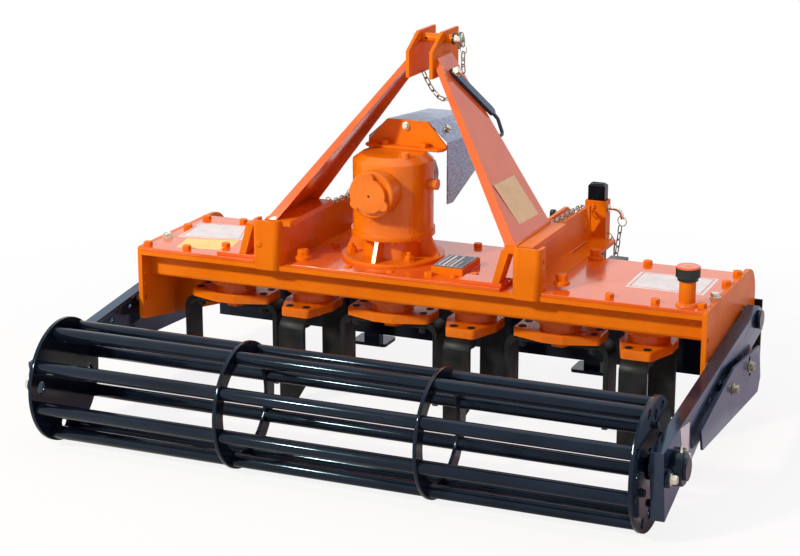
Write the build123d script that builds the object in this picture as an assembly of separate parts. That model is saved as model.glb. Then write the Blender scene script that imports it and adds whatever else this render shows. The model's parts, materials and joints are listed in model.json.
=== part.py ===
"""Power harrow for a small tractor: six vertical rotors under a gear case, with a cage roller behind.

Millimetres. +Z up, +Y forward (the direction of travel), +X to the right as seen from behind.
The origin is on the ground, under the middle of the whole machine.
The harrow stands as it parks: on its cage roller and its two front stands, tines clear of the ground.
"""
import os
from math import asin, cos, degrees, radians, sin, sqrt

from build123d import *

# Overall driving sizes
width_over_plates = 1300.0      # outer faces of the two end plates
case_depth = 316.0              # front to rear over the cover
rotor_count = 6
rotor_pitch = 195.0
rotor_phase = 0.0               # turn of the first rotor's holder from the machine's length
tip_clearance = 8.0             # tine tips above the ground when parked
overrun = 30.0                  # how far a cutting tool runs past what it cuts
seat = 0.3                      # gap between a moving piece and its seat
running_gap = 0.05              # radial gap of a shaft in its bore

# Gear case and cover
cover_thickness = 8.0
case_flange_thickness = 10.0
case_height = 66.0              # under the cover, to the bottom of the case
case_overhang = 39.0            # how far the flange stands out past the wall
case_corner = 8.0
slot_width = 27.0               # open slot in the cover beside each hitch beam

# End plates
end_plate_thickness = 10.0
end_plate_rear_drop = 166.0
end_plate_front_drop = 230.0
end_plate_reach = 92.0          # forward of the cover's front edge
end_plate_corner = 14.0
end_plate_shoulder = 65.0       # radius of the plate's top front corner
end_plate_hole_radius = 6.0
end_plate_hole_inset = 15.0     # from the plate's rear edge
end_plate_hole_drops = (63.0, 89.0, 120.0)

# Rotors
housing_radius = 60.0
housing_height = 25.0
hub_radius = 46.0
holder_length = 195.0
holder_end_width = 64.0
holder_mid_width = 116.0
holder_mid_run = 46.0           # length of the widest part
holder_corner = 9.0
holder_edge = 2.5
holder_thickness = 20.0
holder_drop = 119.0             # top of the holder under the cover
hub_nut_radius = 24.0
hub_nut_height = 18.0
hub_nut_sides = 6
tine_width = 60.0
tine_thickness = 12.0
tine_flange_length = 84.0
tine_bend_radius = 26.0         # outside of the bend
tine_reach = 117.0              # rotor axis to the outer face of the blade
tine_length = 187.0             # underside of the holder to the tip
tine_tip_width = 40.0
tine_tip_rise = 34.0
tine_bolt_radius = 6.0
tine_bolt_place = 80.0          # rotor axis to the row of two bolts
tine_bolt_spread = 20.0         # to each side of the holder's middle line

# Gearbox
gearbox_x = -97.5
neck_base_radius = 113.0
neck_base_thickness = 8.0
neck_bottom_radius = 68.0
neck_top_radius = 62.0
neck_height = 44.0
neck_rib_count = 4
neck_rib_thickness = 9.0
neck_rib_inset = 3.0            # of a rib's foot from the rim of the base
body_flange_radius = 92.0
body_flange_thickness = 14.0
body_radius = 88.0
body_height = 165.0
body_bevel_drop = 14.0
body_bevel_width = 19.0
rear_boss_radius = 51.0
rear_boss_length = 33.0
rear_cap_radius = 37.0
rear_cap_length = 12.0
rear_cap_lobe_radius = 11.0
rear_cap_lobe_place = 37.0
rear_cap_lobe_angles = (90.0, 210.0, 330.0)
front_boss_radius = 56.0
front_boss_length = 39.0
boss_edge = 3.0
side_plug_radius = 12.0
side_plug_length = 17.0
side_plug_height = 102.0        # above the body's flange
top_plug_radius = 10.0
top_plug_height = 9.0
top_plug_x = 46.0               # from the middle of the gearbox
top_plug_y = -42.0
input_height = 95.0             # input shaft above the body's flange
shaft_body_radius = 22.0
shaft_end_radius = 17.45        # the 1 3/8 inch end that takes the drive shaft's yoke
shaft_end_length = 80.0
shaft_collar_length = 6.0

# Hitch
hitch_x = -30.0                 # middle of the hitch
beam_spacing = 267.0            # hitch middle to the beam's inner face
beam_width = 63.0
beam_height = 80.0
beam_front_height = 70.0
beam_plate = 8.0
beam_nose = 49.0                # how much shorter the beam is at its top
beam_nose_drop = 18.0           # below the cover, ahead of the gear case
saddle_width = 40.0             # plate on top of the beam that carries the strut's foot
saddle_overhang = 22.0          # of that plate past the beam's inner face
post_height = 92.0              # above the cover
post_drop = 17.0                # below the cover, down the rear edge
post_lip = 28.0
post_corner = 14.0
post_hole_radius = 5.0
post_hole_height = 62.0
gusset_width = 16.0
gusset_depth = 40.0
gusset_lean = 20.0
gusset_plate = 6.0
gusset_reaches = (40.0, 48.0)   # post's side to the gusset's foot, left and right
gusset_inset = 8.0              # from the cover's rear edge
pad_length = 95.0
pad_depth = 46.0
pad_height = 8.0

mast_x = -46.0                  # middle of the top link plates
mast_pin_y = 100.0
mast_pin_height = 468.0         # above the cover
clevis_gap = 46.0
clevis_plate = 8.0
clevis_back = 80.0              # pin to the rear and front edges of the plates
clevis_ahead = 72.0
clevis_below = 77.0
clevis_above = 17.0
clevis_bevel_run = 60.0
clevis_bevel_drop = 35.0
clevis_pin_radius = 9.5
clevis_pin_ends = (44.0, 69.0)  # middle of the plates to the pin's ends, left and right
strut_foot_rear = -148.0
strut_foot_front = 68.0
strut_foot_width = 25.0
strut_top_back = 56.0           # pin to the rear and front edges of the strut's top
strut_top_ahead = 27.0
strut_top_width = 14.0
strut_top_drop = 31.0           # pin to the strut's top
strut_plate = 6.0
strut_foot_reaches = (303.0, 270.0)     # hitch middle to the outer faces of the feet, left and right
lower_gap = 47.0                # between the beam's web and the inner plate of the lower link
lower_plate_top = 60.0          # outline of that plate, above the cover
lower_plate_rear_top = 20.0
lower_plate_front_top = 34.0
lower_plate_front_low = -5.0
lower_plate_shoulder_y = 195.0
lower_plate_peak_y = 338.0
lower_plate_front_y = 388.0
lower_floor_front_y = 262.0     # the floor between the two ends here and leaves the link's ball free
lower_pin_radius = 11.0
lower_pin_head_radius = 17.0
lower_pin_head = 8.0
lower_pin_height = 26.0
lower_pin_y = 300.0
lower_pin_handle_radius = 6.0
lower_pin_handle = 30.0         # pin's axis to the handle's top
holder_bar_width = 24.0         # black rest for the drive shaft, on the right strut
holder_bar_thickness = 8.0
holder_bar_top = 398.0          # above the cover
holder_bar_low = 312.0
holder_bar_rear = 66.0
holder_bar_front = 121.0
holder_rod_radius = 4.0
holder_rod_seat_radius = 8.0
holder_rod_low = 262.0
holder_rod_bow = 6.0
holder_rod_shares = (0.36, 0.34)

# Parking stands
stand_x = 280.0                 # hitch middle to the middle of each stand
stand_y = 372.0
stand_tube_width = 40.0
stand_tube_depth = 24.0
sleeve_width = 50.0
sleeve_depth = 34.0
sleeve_gap = 0.6
sleeve_top = 76.0
sleeve_bottom = -18.0
stand_show = 37.0               # how far the tube stands out of the sleeve when parked
stand_cap_edge = 4.0
stand_foot_width = 90.0
stand_foot_depth = 70.0
stand_foot_thickness = 8.0
stand_pin_radius = 5.0
stand_pin_height = 58.0         # above the cover
stand_pin_run = 24.0
stand_pin_drop = 20.0
stand_pin_head_radius = 9.0
stand_pin_washer = 3.0

# Guard over the input shaft
guard_x = -88.5                 # middle of the guard, a little to the right of the gearbox
guard_foot_depth = 33.0
guard_plate_thickness = 6.0
guard_y = 55.0                  # rear face of the upright plate
guard_half_foot = 92.0
guard_half_top = 48.0
guard_foot_rise = 10.0          # height at which the plate starts to narrow
guard_height = 60.0
guard_corner_cut = 10.0
hood_sheet = 3.0
hood_half_width = 94.0
hood_half_top = 47.0
hood_shoulder = 42.0            # drop from the top to the side sheets
hood_length = 236.0
hood_tilt = 5.0
hood_side_drop = 180.0          # under the top, at the rear
hood_side_flat = 48.0           # straight part of the sides' lower edge, at the rear
hood_side_rise = 81.0           # how much shorter the sides are at the front

# Front levelling board
board_y = 250.0
board_thickness = 6.0
board_drop_top = 82.0
board_drop_bottom = 272.0
board_overhang = 17.0           # past the end plates
board_strap_x = 343.0
board_strap_width = 40.0
board_strap = 8.0
board_strap_low = 236.0         # under the cover

# Cage roller and its arms
roller_radius = 131.0
roller_disc_thickness = 8.0
roller_gap = 12.0               # disc to the arm's flange
roller_bar_count = 8
roller_bar_angle = 16.0
roller_bar_radius = 14.0
roller_bar_bore = 10.5
roller_bar_bore_depth = 26.0
roller_bar_ring = 113.0
roller_hole_radius = 14.0
roller_hole_ring = 93.0
roller_hole_count = 4
roller_hole_angle = -5.0
ring_radial_width = 34.0
ring_place_share = 1.0 / 3.0
roller_hub_radius = 30.0
roller_hub_length = 7.0
roller_shaft_radius = 17.0
roller_shaft_short = 1.0        # end of the shaft to the bearing's cap
arm_reach = 654.0               # front pivot to the roller's axis
pivot_y = 150.0
pivot_drop = 96.0               # under the cover
pivot_radius = 12.0
pivot_head_radius = 20.0
pivot_head = 9.0
pivot_spacer_radius = 15.0
arm_gap = 5.0                   # end plate to the arm's flange
arm_flange_width = 27.0
arm_plate = 8.0
arm_nose = 42.0                 # outline of the arm, from its front pivot
arm_nose_top = 5.0
arm_shoulder = 12.0
arm_top_front = 26.0
arm_top_rear = 60.0
arm_front_drop = 44.0
arm_tail = 58.0                 # past the roller's axis
arm_tail_drop = 86.0
arm_waist_run = 215.0
arm_waist_drop = 41.0
arm_hole_radius = 7.0
arm_hole_places = ((311.0, 8.0), (390.0, 9.0))
bearing_flange = 10.0
bearing_width = 25.0
bearing_radius = 34.0
bearing_ear_radius = 17.0
bearing_ear_place = 44.0
bearing_cap_radius = 22.0
bearing_cap = 6.0
deflector_plate = 5.0
deflector_gap = 8.0
deflector_length = 500.0
deflector_drop = 146.0
deflector_outline_shares = ((0.072, 0.295), (0.5, -0.055), (1.0, 0.027), (0.98, 0.35), (0.102, 1.0), (0.054, 0.83))
deflector_bolt_radius = 9.0
deflector_bolt_places = ((122.0, 50.0), (259.0, 34.0))
deflector_slot_width = 12.0
deflector_slot_length = 46.0

# Small pieces on the cover
filler_x = 598.0
filler_y = -122.0
filler_radius = 17.0
filler_height = 52.0
filler_cap_radius = 25.0
filler_cap_height = 30.0
filler_cap_edge = 3.0
label_x = 71.0
label_y = -54.0
label_length = 72.0
label_depth = 106.0
label_height = 17.0
label_edge = 1.5

# Levels worked out from the ground up
holder_bottom_z = tip_clearance + tine_length
cover_z = holder_bottom_z + holder_thickness + holder_drop
case_top_z = cover_z - cover_thickness
case_bottom_z = case_top_z - case_height
holder_top_z = holder_bottom_z + holder_thickness
housing_bottom_z = case_bottom_z - housing_height
pivot_z = cover_z - pivot_drop
arm_drop = pivot_z - roller_radius
roller_y = pivot_y - sqrt(arm_reach ** 2 - arm_drop ** 2)
arm_angle = degrees(asin(arm_drop / arm_reach))
half_width = width_over_plates / 2
half_depth = case_depth / 2
inner_half = half_width - end_plate_thickness
board_half_width = half_width + board_overhang
arm_inner_x = half_width + arm_gap
arm_outer_x = arm_inner_x + arm_flange_width
roller_half_length = arm_inner_x - roller_gap
beam_front = stand_y - sleeve_depth / 2
body_z = cover_z + neck_base_thickness + neck_height + body_flange_thickness
body_top_z = body_z + body_height
input_z = body_z + input_height
shaft_shoulder_y = body_radius + front_boss_length + shaft_collar_length
mast_pin_z = cover_z + mast_pin_height
strut_top_height = mast_pin_height - strut_top_drop
strut_top_rear = mast_pin_y - strut_top_back
strut_top_front = mast_pin_y + strut_top_ahead
rotor_xs = [(index - (rotor_count - 1) / 2) * rotor_pitch for index in range(rotor_count)]
bar_angles = [radians(roller_bar_angle + 360 * index / roller_bar_count) for index in range(roller_bar_count)]
middle_y = (stand_y + stand_foot_depth / 2 + roller_y - roller_radius) / 2

os.makedirs("parts", exist_ok=True)


def save(shape, name):
    """Write one piece under its own name, moved so that the origin is under the middle of the machine."""
    export_step(Pos(0, -middle_y, 0) * shape, f"parts/{name}.step")


def slab(x_range, y_range, z_range):
    """A rectangular block between two values on each axis."""
    ranges = [sorted(pair) for pair in (x_range, y_range, z_range)]
    sizes = [high - low for low, high in ranges]
    middle = [(high + low) / 2 for low, high in ranges]
    return Pos(*middle) * Box(*sizes)


def upright(radius, bottom, top, x=0, y=0):
    """A round bar along Z."""
    return Pos(x, y, (bottom + top) / 2) * Cylinder(radius, top - bottom)


def cross_bar(radius, first, second, y, z):
    """A round bar along X."""
    low, high = sorted((first, second))
    return Pos((low + high) / 2, y, z) * Rot(0, 90, 0) * Cylinder(radius, high - low)


def fore_bar(radius, low, high, x, z):
    """A round bar along Y."""
    return Pos(x, (low + high) / 2, z) * Rot(90, 0, 0) * Cylinder(radius, high - low)


def side_plate(points, first, second, corner=0):
    """A flat plate across X whose outline is given by (y, z) points."""
    low, high = sorted((first, second))
    face = make_face(Polyline(*[(0, y, z) for y, z in points], close=True))
    if corner:
        face = fillet(face.vertices(), corner)
    solid = extrude(face, amount=high - low, dir=(1, 0, 0))
    return Pos(low, 0, 0) * solid


def flat_plate(points, z_low, z_high, corner=0):
    """A flat plate whose outline is given by (x, y) points."""
    face = make_face(Polyline(*[(x, y, 0) for x, y in points], close=True))
    if corner:
        face = fillet(face.vertices(), corner)
    return Pos(0, 0, z_low) * extrude(face, amount=z_high - z_low, dir=(0, 0, 1))


def cross_plate(points, y_low, y_high):
    """A flat plate across Y whose outline is given by (x, z) points."""
    face = make_face(Polyline(*[(x, 0, z) for x, z in points], close=True))
    return Pos(0, y_low, 0) * extrude(face, amount=y_high - y_low, dir=(0, 1, 0))


def pair(shape):
    """A piece and its mirror image on the other side of the machine."""
    return Compound(children=[shape, mirror(shape, Plane.YZ)])


# Gear case: a folded trough with a flange all round, closed by the cover
def make_gear_case():
    wall_y = half_depth - case_overhang
    trough = slab((-inner_half, inner_half), (-wall_y, wall_y), (case_bottom_z, case_top_z))
    trough = fillet(trough.edges().filter_by(Axis.X).group_by(Axis.Z)[0], case_corner)
    flange = slab((-inner_half, inner_half), (-half_depth, half_depth),
                  (case_top_z - case_flange_thickness, case_top_z))
    return trough + flange


def make_cover():
    """Cover in three lengths, with an open slot for each hitch beam."""
    left_outer = hitch_x - beam_spacing - beam_width
    left_inner = hitch_x - beam_spacing + slot_width
    right_inner = hitch_x + beam_spacing - slot_width
    right_outer = hitch_x + beam_spacing + beam_width
    lengths = [(-inner_half, left_outer), (left_inner, right_inner), (right_outer, inner_half)]
    pieces = [slab(span, (-half_depth, half_depth), (case_top_z, cover_z)) for span in lengths]
    return Compound(children=pieces)


def make_cover_pads():
    """Thick pads on the cover's rear edge, under the feet of the gussets."""
    rear = -half_depth + gusset_inset
    left_end = hitch_x - beam_spacing - beam_width
    right_end = hitch_x + beam_spacing - slot_width
    pieces = [slab((end - pad_length, end), (rear, rear + pad_depth), (cover_z, cover_z + pad_height))
              for end in (left_end, right_end)]
    return Compound(children=pieces)


def make_end_plates():
    """Flat plates that close the ends and reach down beside the tines."""
    front = half_depth + end_plate_reach
    points = [(-half_depth, cover_z), (-half_depth, cover_z - end_plate_rear_drop),
              (front - end_plate_reach / 2, cover_z - end_plate_front_drop),
              (front, cover_z - end_plate_front_drop + end_plate_corner),
              (front, cover_z)]
    plate = side_plate(points, inner_half, half_width)
    corners = plate.edges().filter_by(Axis.X).sort_by(lambda edge: edge.center().Y + edge.center().Z)
    plate = fillet(corners[:-1], end_plate_corner / 2)
    corners = plate.edges().filter_by(Axis.X).sort_by(lambda edge: edge.center().Y + edge.center().Z)
    plate = fillet(corners[-1], end_plate_shoulder)
    plate -= cross_bar(pivot_radius + seat, inner_half - overrun, half_width + overrun, pivot_y, pivot_z)
    for drop in end_plate_hole_drops:
        plate -= cross_bar(end_plate_hole_radius, inner_half - overrun, half_width + overrun,
                           -half_depth + end_plate_hole_inset, cover_z - drop)
    return pair(plate)


# Rotors
def make_rotor_housings():
    """The six bearing housings under the case."""
    pieces = [upright(housing_radius, housing_bottom_z, case_bottom_z, x) for x in rotor_xs]
    return Compound(children=pieces)


def tine_bolt_holes(bottom, top):
    """The four bolt holes of one holder, two side by side at each end."""
    return [upright(tine_bolt_radius, bottom - overrun, top + overrun, x, y)
            for x in (-tine_bolt_place, tine_bolt_place) for y in (-tine_bolt_spread, tine_bolt_spread)]


def make_holder():
    """Forged tine holder with its hub, made lying along X about the Z axis."""
    half = holder_length / 2
    end = holder_end_width / 2
    middle = holder_mid_width / 2
    run = holder_mid_run / 2
    points = [(-half, -end), (-run, -middle), (run, -middle), (half, -end),
              (half, end), (run, middle), (-run, middle), (-half, end)]
    bar = flat_plate(points, holder_bottom_z, holder_top_z, holder_corner)
    bar = chamfer(bar.edges().group_by(Axis.Z)[-1], holder_edge)
    bar -= tine_bolt_holes(holder_bottom_z, holder_top_z)
    hub = upright(hub_radius, holder_top_z, housing_bottom_z - seat)
    nut = extrude(Pos(0, 0, holder_bottom_z - hub_nut_height) * RegularPolygon(hub_nut_radius, hub_nut_sides),
                  amount=hub_nut_height)
    return bar + hub + nut


def make_tines():
    """Two bent flat-bar tines under the holder, lying along X about the Z axis."""
    top = holder_bottom_z
    bend = tine_bend_radius
    inner = bend - tine_thickness
    start = tine_reach - tine_flange_length
    with BuildPart() as maker:
        with BuildSketch(Plane.XZ):
            with BuildLine():
                Line((start, top), (tine_reach - bend, top))
                RadiusArc((tine_reach - bend, top), (tine_reach, top - bend), bend)
                Line((tine_reach, top - bend), (tine_reach, tip_clearance))
                Line((tine_reach, tip_clearance), (tine_reach - tine_thickness, tip_clearance))
                Line((tine_reach - tine_thickness, tip_clearance), (tine_reach - tine_thickness, top - bend))
                RadiusArc((tine_reach - tine_thickness, top - bend),
                          (tine_reach - bend, top - tine_thickness), -inner)
                Line((tine_reach - bend, top - tine_thickness), (start, top - tine_thickness))
                Line((start, top - tine_thickness), (start, top))
            make_face()
        extrude(amount=tine_width / 2, both=True)
    half = tine_width / 2
    edge = half - (tine_width - tine_tip_width)
    tip_cut = side_plate([(edge, tip_clearance - overrun), (edge, tip_clearance),
                          (half, tip_clearance + tine_tip_rise), (half + overrun, tip_clearance + tine_tip_rise),
                          (half + overrun, tip_clearance - overrun)],
                         start, tine_reach + overrun)
    tine = maker.part - tip_cut
    tine -= tine_bolt_holes(top - tine_thickness, top)
    return Compound(children=[tine, Rot(0, 0, 180) * tine])


# Gearbox
def make_neck():
    """Foot of the gearbox: a bolted disc and a short cone stiffened by four ribs."""
    foot_z = cover_z + neck_base_thickness
    base = upright(neck_base_radius, cover_z, foot_z, gearbox_x)
    cone = Pos(gearbox_x, 0, foot_z + neck_height / 2) * Cone(neck_bottom_radius, neck_top_radius, neck_height)
    profile = [(0, foot_z), (neck_base_radius - neck_rib_inset, foot_z),
               (body_flange_radius - neck_rib_inset, foot_z + neck_height), (0, foot_z + neck_height)]
    rib = cross_plate(profile, -neck_rib_thickness / 2, neck_rib_thickness / 2)
    ribs = [Pos(gearbox_x, 0, 0) * Rot(0, 0, 360 * index / neck_rib_count) * rib
            for index in range(neck_rib_count)]
    return base + cone + ribs


def make_gearbox_body():
    """Round casting with a bevelled top, a boss behind and a longer one in front for the input shaft."""
    flange = upright(body_flange_radius, body_z - body_flange_thickness, body_z, gearbox_x)
    shoulder_z = body_top_z - body_bevel_drop
    drum = upright(body_radius, body_z, shoulder_z, gearbox_x)
    crown = Pos(gearbox_x, 0, (shoulder_z + body_top_z) / 2) * Cone(
        body_radius, body_radius - body_bevel_width, body_bevel_drop)
    rear = fore_bar(rear_boss_radius, -body_radius - rear_boss_length, 0, gearbox_x, input_z)
    rear = chamfer(rear.edges().group_by(Axis.Y)[0], boss_edge)
    front = fore_bar(front_boss_radius, 0, body_radius + front_boss_length, gearbox_x, input_z)
    front = chamfer(front.edges().group_by(Axis.Y)[-1], boss_edge)
    side = cross_bar(side_plug_radius, gearbox_x + body_radius / 2, gearbox_x + body_radius + side_plug_length,
                     0, body_z + side_plug_height)
    top = upright(top_plug_radius, body_z, body_top_z + top_plug_height, gearbox_x + top_plug_x, top_plug_y)
    bore = fore_bar(shaft_body_radius + running_gap, 0, shaft_shoulder_y + overrun, gearbox_x, input_z)
    return flange + drum + crown + rear + front + side + top - bore


def make_gearbox_cap():
    """Bearing cap behind, a disc with three bolt lobes."""
    start = -body_radius - rear_boss_length
    end = start - rear_cap_length
    cap = fore_bar(rear_cap_radius, end, start, gearbox_x, input_z)
    for angle in rear_cap_lobe_angles:
        x = gearbox_x + rear_cap_lobe_place * cos(radians(angle))
        z = input_z + rear_cap_lobe_place * sin(radians(angle))
        cap += fore_bar(rear_cap_lobe_radius, end, start, x, z)
    return cap


def make_input_shaft():
    """Stub shaft with a thicker part in its bearing and a free end for the drive shaft."""
    body = fore_bar(shaft_body_radius, seat, shaft_shoulder_y, gearbox_x, input_z)
    end = fore_bar(shaft_end_radius, shaft_shoulder_y, shaft_shoulder_y + shaft_end_length, gearbox_x, input_z)
    return body + end


# Guard over the input shaft
def make_guard_bracket():
    """Bent plate on the gearbox's top that carries the hood."""
    front = guard_y + guard_plate_thickness
    rear = front - guard_foot_depth
    low = guard_x - guard_half_foot
    high = guard_x + guard_half_foot
    foot = flat_plate([(low + guard_corner_cut, rear), (high - guard_corner_cut, rear),
                       (high, rear + guard_corner_cut), (high, front), (low, front),
                       (low, rear + guard_corner_cut)], body_top_z, body_top_z + guard_plate_thickness)
    wall = cross_plate([(low, body_top_z), (high, body_top_z), (high, body_top_z + guard_foot_rise),
                        (guard_x + guard_half_top, body_top_z + guard_height),
                        (guard_x - guard_half_top, body_top_z + guard_height),
                        (low, body_top_z + guard_foot_rise)], guard_y, front)
    return foot + wall


def hood_outline(drop):
    """Cross-section of the hood with its top at zero, down to a given drop."""
    return make_face(Polyline(*[(x, 0, z) for x, z in (
        (-hood_half_width, -drop), (-hood_half_width, -hood_shoulder), (-hood_half_top, 0),
        (hood_half_top, 0), (hood_half_width, -hood_shoulder), (hood_half_width, -drop))], close=True))


def make_guard_hood():
    """Galvanised sheet bent down on both sides over the input shaft, tilted a little to the front."""
    rear = guard_y + guard_plate_thickness
    run = hood_length + overrun
    outer = extrude(hood_outline(hood_side_drop), amount=run, dir=(0, 1, 0))
    inner = extrude(offset(hood_outline(hood_side_drop + overrun), -hood_sheet), amount=run, dir=(0, 1, 0))
    start = overrun + hood_side_flat
    slope = side_plate([(start, -hood_side_drop), (run, -hood_side_drop + hood_side_rise),
                        (run + overrun, -hood_side_drop - overrun), (start, -hood_side_drop - overrun)],
                       -hood_half_width - overrun, hood_half_width + overrun)
    shell = Pos(0, -overrun, 0) * (outer - inner - slope)
    hood = Pos(guard_x, rear, body_top_z + guard_height) * Rot(-hood_tilt, 0, 0) * shell
    behind = slab((guard_x - hood_half_width - overrun, guard_x + hood_half_width + overrun),
                  (rear - hood_side_drop, rear), (cover_z, body_top_z + guard_height + overrun))
    return hood - behind


# Hitch
def make_beam(side):
    """Folded beam: a web, a foot flange outward, a folded rear post and the lower link's inner plate."""
    inner = beam_spacing
    outer = beam_spacing + beam_width
    nose_z = cover_z - beam_nose_drop
    rear = -half_depth - beam_plate
    lip = rear + beam_plate + post_lip
    start = rear + beam_plate + post_corner
    web = side_plate([(start, case_top_z), (half_depth, case_top_z), (half_depth, nose_z),
                      (beam_front, nose_z), (beam_front - beam_nose, cover_z + beam_front_height),
                      (start, cover_z + beam_height)], inner, inner + beam_plate)
    foot = slab((inner, outer), (lip, half_depth), (case_top_z, case_top_z + beam_plate))
    toe = slab((inner, outer), (half_depth, beam_front), (nose_z, nose_z + beam_plate))
    riser = slab((inner, outer), (half_depth, half_depth + beam_plate), (nose_z, case_top_z + beam_plate))
    saddle = slab((inner - saddle_overhang, inner + saddle_width), (strut_foot_rear, strut_foot_front),
                  (cover_z + beam_height, cover_z + post_height))
    post = slab((inner, outer), (rear, lip), (cover_z - post_drop, cover_z + post_height))
    post = fillet(post.edges().filter_by(Axis.Z).group_by(Axis.Y)[0], post_corner)
    hollow = slab((inner + beam_plate, outer - beam_plate), (rear + beam_plate, lip + overrun),
                  (cover_z - post_drop - overrun, cover_z + post_height + overrun))
    notch = slab((inner - overrun, outer + overrun), (-half_depth, half_depth), (0, case_top_z))
    ear_x = inner - lower_gap
    ear = side_plate([(half_depth, nose_z), (lower_floor_front_y, nose_z),
                      (lower_plate_front_y, cover_z + lower_plate_front_low),
                      (lower_plate_front_y, cover_z + lower_plate_front_top),
                      (lower_plate_peak_y, cover_z + lower_plate_top),
                      (lower_plate_shoulder_y, cover_z + lower_plate_top),
                      (half_depth, cover_z + lower_plate_rear_top)], ear_x - beam_plate, ear_x)
    floor = slab((ear_x, inner), (half_depth, lower_floor_front_y), (nose_z, nose_z + beam_plate))
    pin = cross_bar(lower_pin_radius + running_gap, ear_x - overrun, inner + overrun, lower_pin_y,
                    cover_z + lower_pin_height)
    hole = cross_bar(post_hole_radius, outer - overrun, outer + overrun, lip - post_lip / 2,
                     cover_z + post_hole_height)
    beam = web + foot + toe + riser + saddle + ear + floor + (post - hollow) - notch - pin - hole
    if side < 0:
        beam = mirror(beam, Plane.YZ)
    return Pos(hitch_x, 0, 0) * beam


def make_gussets():
    """Folded plates that prop the rear posts from their left, standing on the cover's pads."""
    low = cover_z + pad_height
    high = cover_z + beam_height
    rear = -half_depth + gusset_inset
    pieces = []
    left_face = hitch_x - beam_spacing - beam_width
    right_face = hitch_x + beam_spacing
    for face, reach in zip((left_face, right_face), gusset_reaches):
        toe = face - reach
        points = [(toe, low), (toe + gusset_width, low),
                  (toe + gusset_width + gusset_lean, high - gusset_plate), (face, high - gusset_plate),
                  (face, high), (toe + gusset_lean, high)]
        pieces.append(cross_plate(points, rear, rear + gusset_depth))
    return Compound(children=pieces)


def strut_ends(side):
    """Foot and top of a strut: middle x, middle y, height, width and length of each section."""
    outer_reach = strut_foot_reaches[side > 0]
    foot_x = hitch_x + side * (outer_reach - strut_foot_width / 2)
    top_x = mast_x + side * (clevis_gap / 2 + clevis_plate - strut_top_width / 2)
    return [(foot_x, (strut_foot_rear + strut_foot_front) / 2, cover_z + post_height,
             strut_foot_width, strut_foot_front - strut_foot_rear),
            (top_x, (strut_top_rear + strut_top_front) / 2, cover_z + strut_top_height,
             strut_top_width, strut_top_front - strut_top_rear)]


def make_strut(side):
    """Tapered channel from the beam up to the clevis, open towards the middle and cut off at its plate."""
    sections = strut_ends(side)
    outer = loft([Pos(x, y, z) * Rectangle(wide, long) for x, y, z, wide, long in sections], ruled=True)
    inner = loft([Pos(x - side * strut_plate, y, z) * Rectangle(wide, long - 2 * strut_plate)
                  for x, y, z, wide, long in sections], ruled=True)
    face = mast_x + side * (clevis_gap / 2 + clevis_plate)
    beyond = slab((face, face - side * beam_spacing), (strut_foot_rear, strut_top_front + overrun),
                  (cover_z + post_height - overrun, cover_z + strut_top_height + overrun))
    return outer - inner - beyond


def strut_front(side, height):
    """Point on the outer front corner of a strut at a height above the cover."""
    foot, top = strut_ends(side)
    share = (cover_z + height - foot[2]) / (top[2] - foot[2])
    foot_corner = (foot[0] + side * foot[3] / 2, foot[1] + foot[4] / 2)
    top_corner = (top[0] + side * top[3] / 2, top[1] + top[4] / 2)
    return [low + share * (high - low) for low, high in zip(foot_corner, top_corner)]


def make_clevis_plates():
    """The two plates that hold the top link."""
    rear = mast_pin_y - clevis_back
    front = mast_pin_y + clevis_ahead
    low = mast_pin_z - clevis_below
    high = mast_pin_z + clevis_above
    points = [(rear, low), (front, low), (front, high), (rear + clevis_bevel_run, high),
              (rear, high - clevis_bevel_drop)]
    pieces = []
    for side in (-1, 1):
        near = mast_x + side * clevis_gap / 2
        plate = side_plate(points, near, near + side * clevis_plate)
        plate -= cross_bar(clevis_pin_radius + running_gap, near - overrun, near + overrun,
                           mast_pin_y, mast_pin_z)
        pieces.append(plate)
    return Compound(children=pieces)


def make_top_pin():
    return cross_bar(clevis_pin_radius, mast_x - clevis_pin_ends[0], mast_x + clevis_pin_ends[1],
                     mast_pin_y, mast_pin_z)


def make_shaft_holder():
    """Rest for the drive shaft: a flat bar on the right strut's outer face that ends in a bent rod."""
    top_x = strut_front(1, holder_bar_top)[0]
    low_x = strut_front(1, holder_bar_low)[0]
    start = Vector(top_x, holder_bar_rear, cover_z + holder_bar_top)
    end = Vector(low_x, holder_bar_front, cover_z + holder_bar_low)
    outward = Vector(holder_bar_top - holder_bar_low, 0, low_x - top_x).normalized()
    along = end - start
    place = Plane(origin=start, x_dir=along, z_dir=outward)
    half = holder_bar_width / 2
    bar = Pos(along.length / 2, 0, holder_bar_thickness / 2) * Box(
        along.length, holder_bar_width, holder_bar_thickness)
    eye = Pos(0, 0, holder_bar_thickness / 2) * Cylinder(half, holder_bar_thickness)
    tip = Pos(along.length, 0, holder_bar_thickness / 2) * Cylinder(half, holder_bar_thickness)
    flat = place.location * (bar + eye + tip)
    seat_x, seat_y = strut_front(1, holder_rod_low)
    landing = strut_front(1, holder_rod_low + holder_rod_radius)[1]
    stop_x = seat_x - strut_top_width / 2
    rise = holder_bar_low - holder_rod_low
    inside = end + outward * (holder_bar_thickness / 2)
    bow = Vector(end.X + rise * holder_rod_shares[0], end.Y + holder_rod_bow, end.Z - rise * holder_rod_shares[1])
    turn = Vector(stop_x, end.Y + holder_rod_bow, cover_z + holder_rod_low)
    stop = Vector(stop_x, landing, cover_z + holder_rod_low)
    path = FilletPolyline(inside, bow, turn, stop, radius=holder_rod_seat_radius)
    rod = sweep(Plane(origin=inside, z_dir=bow - inside) * Circle(holder_rod_radius), path=path)
    return flat + rod


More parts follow.
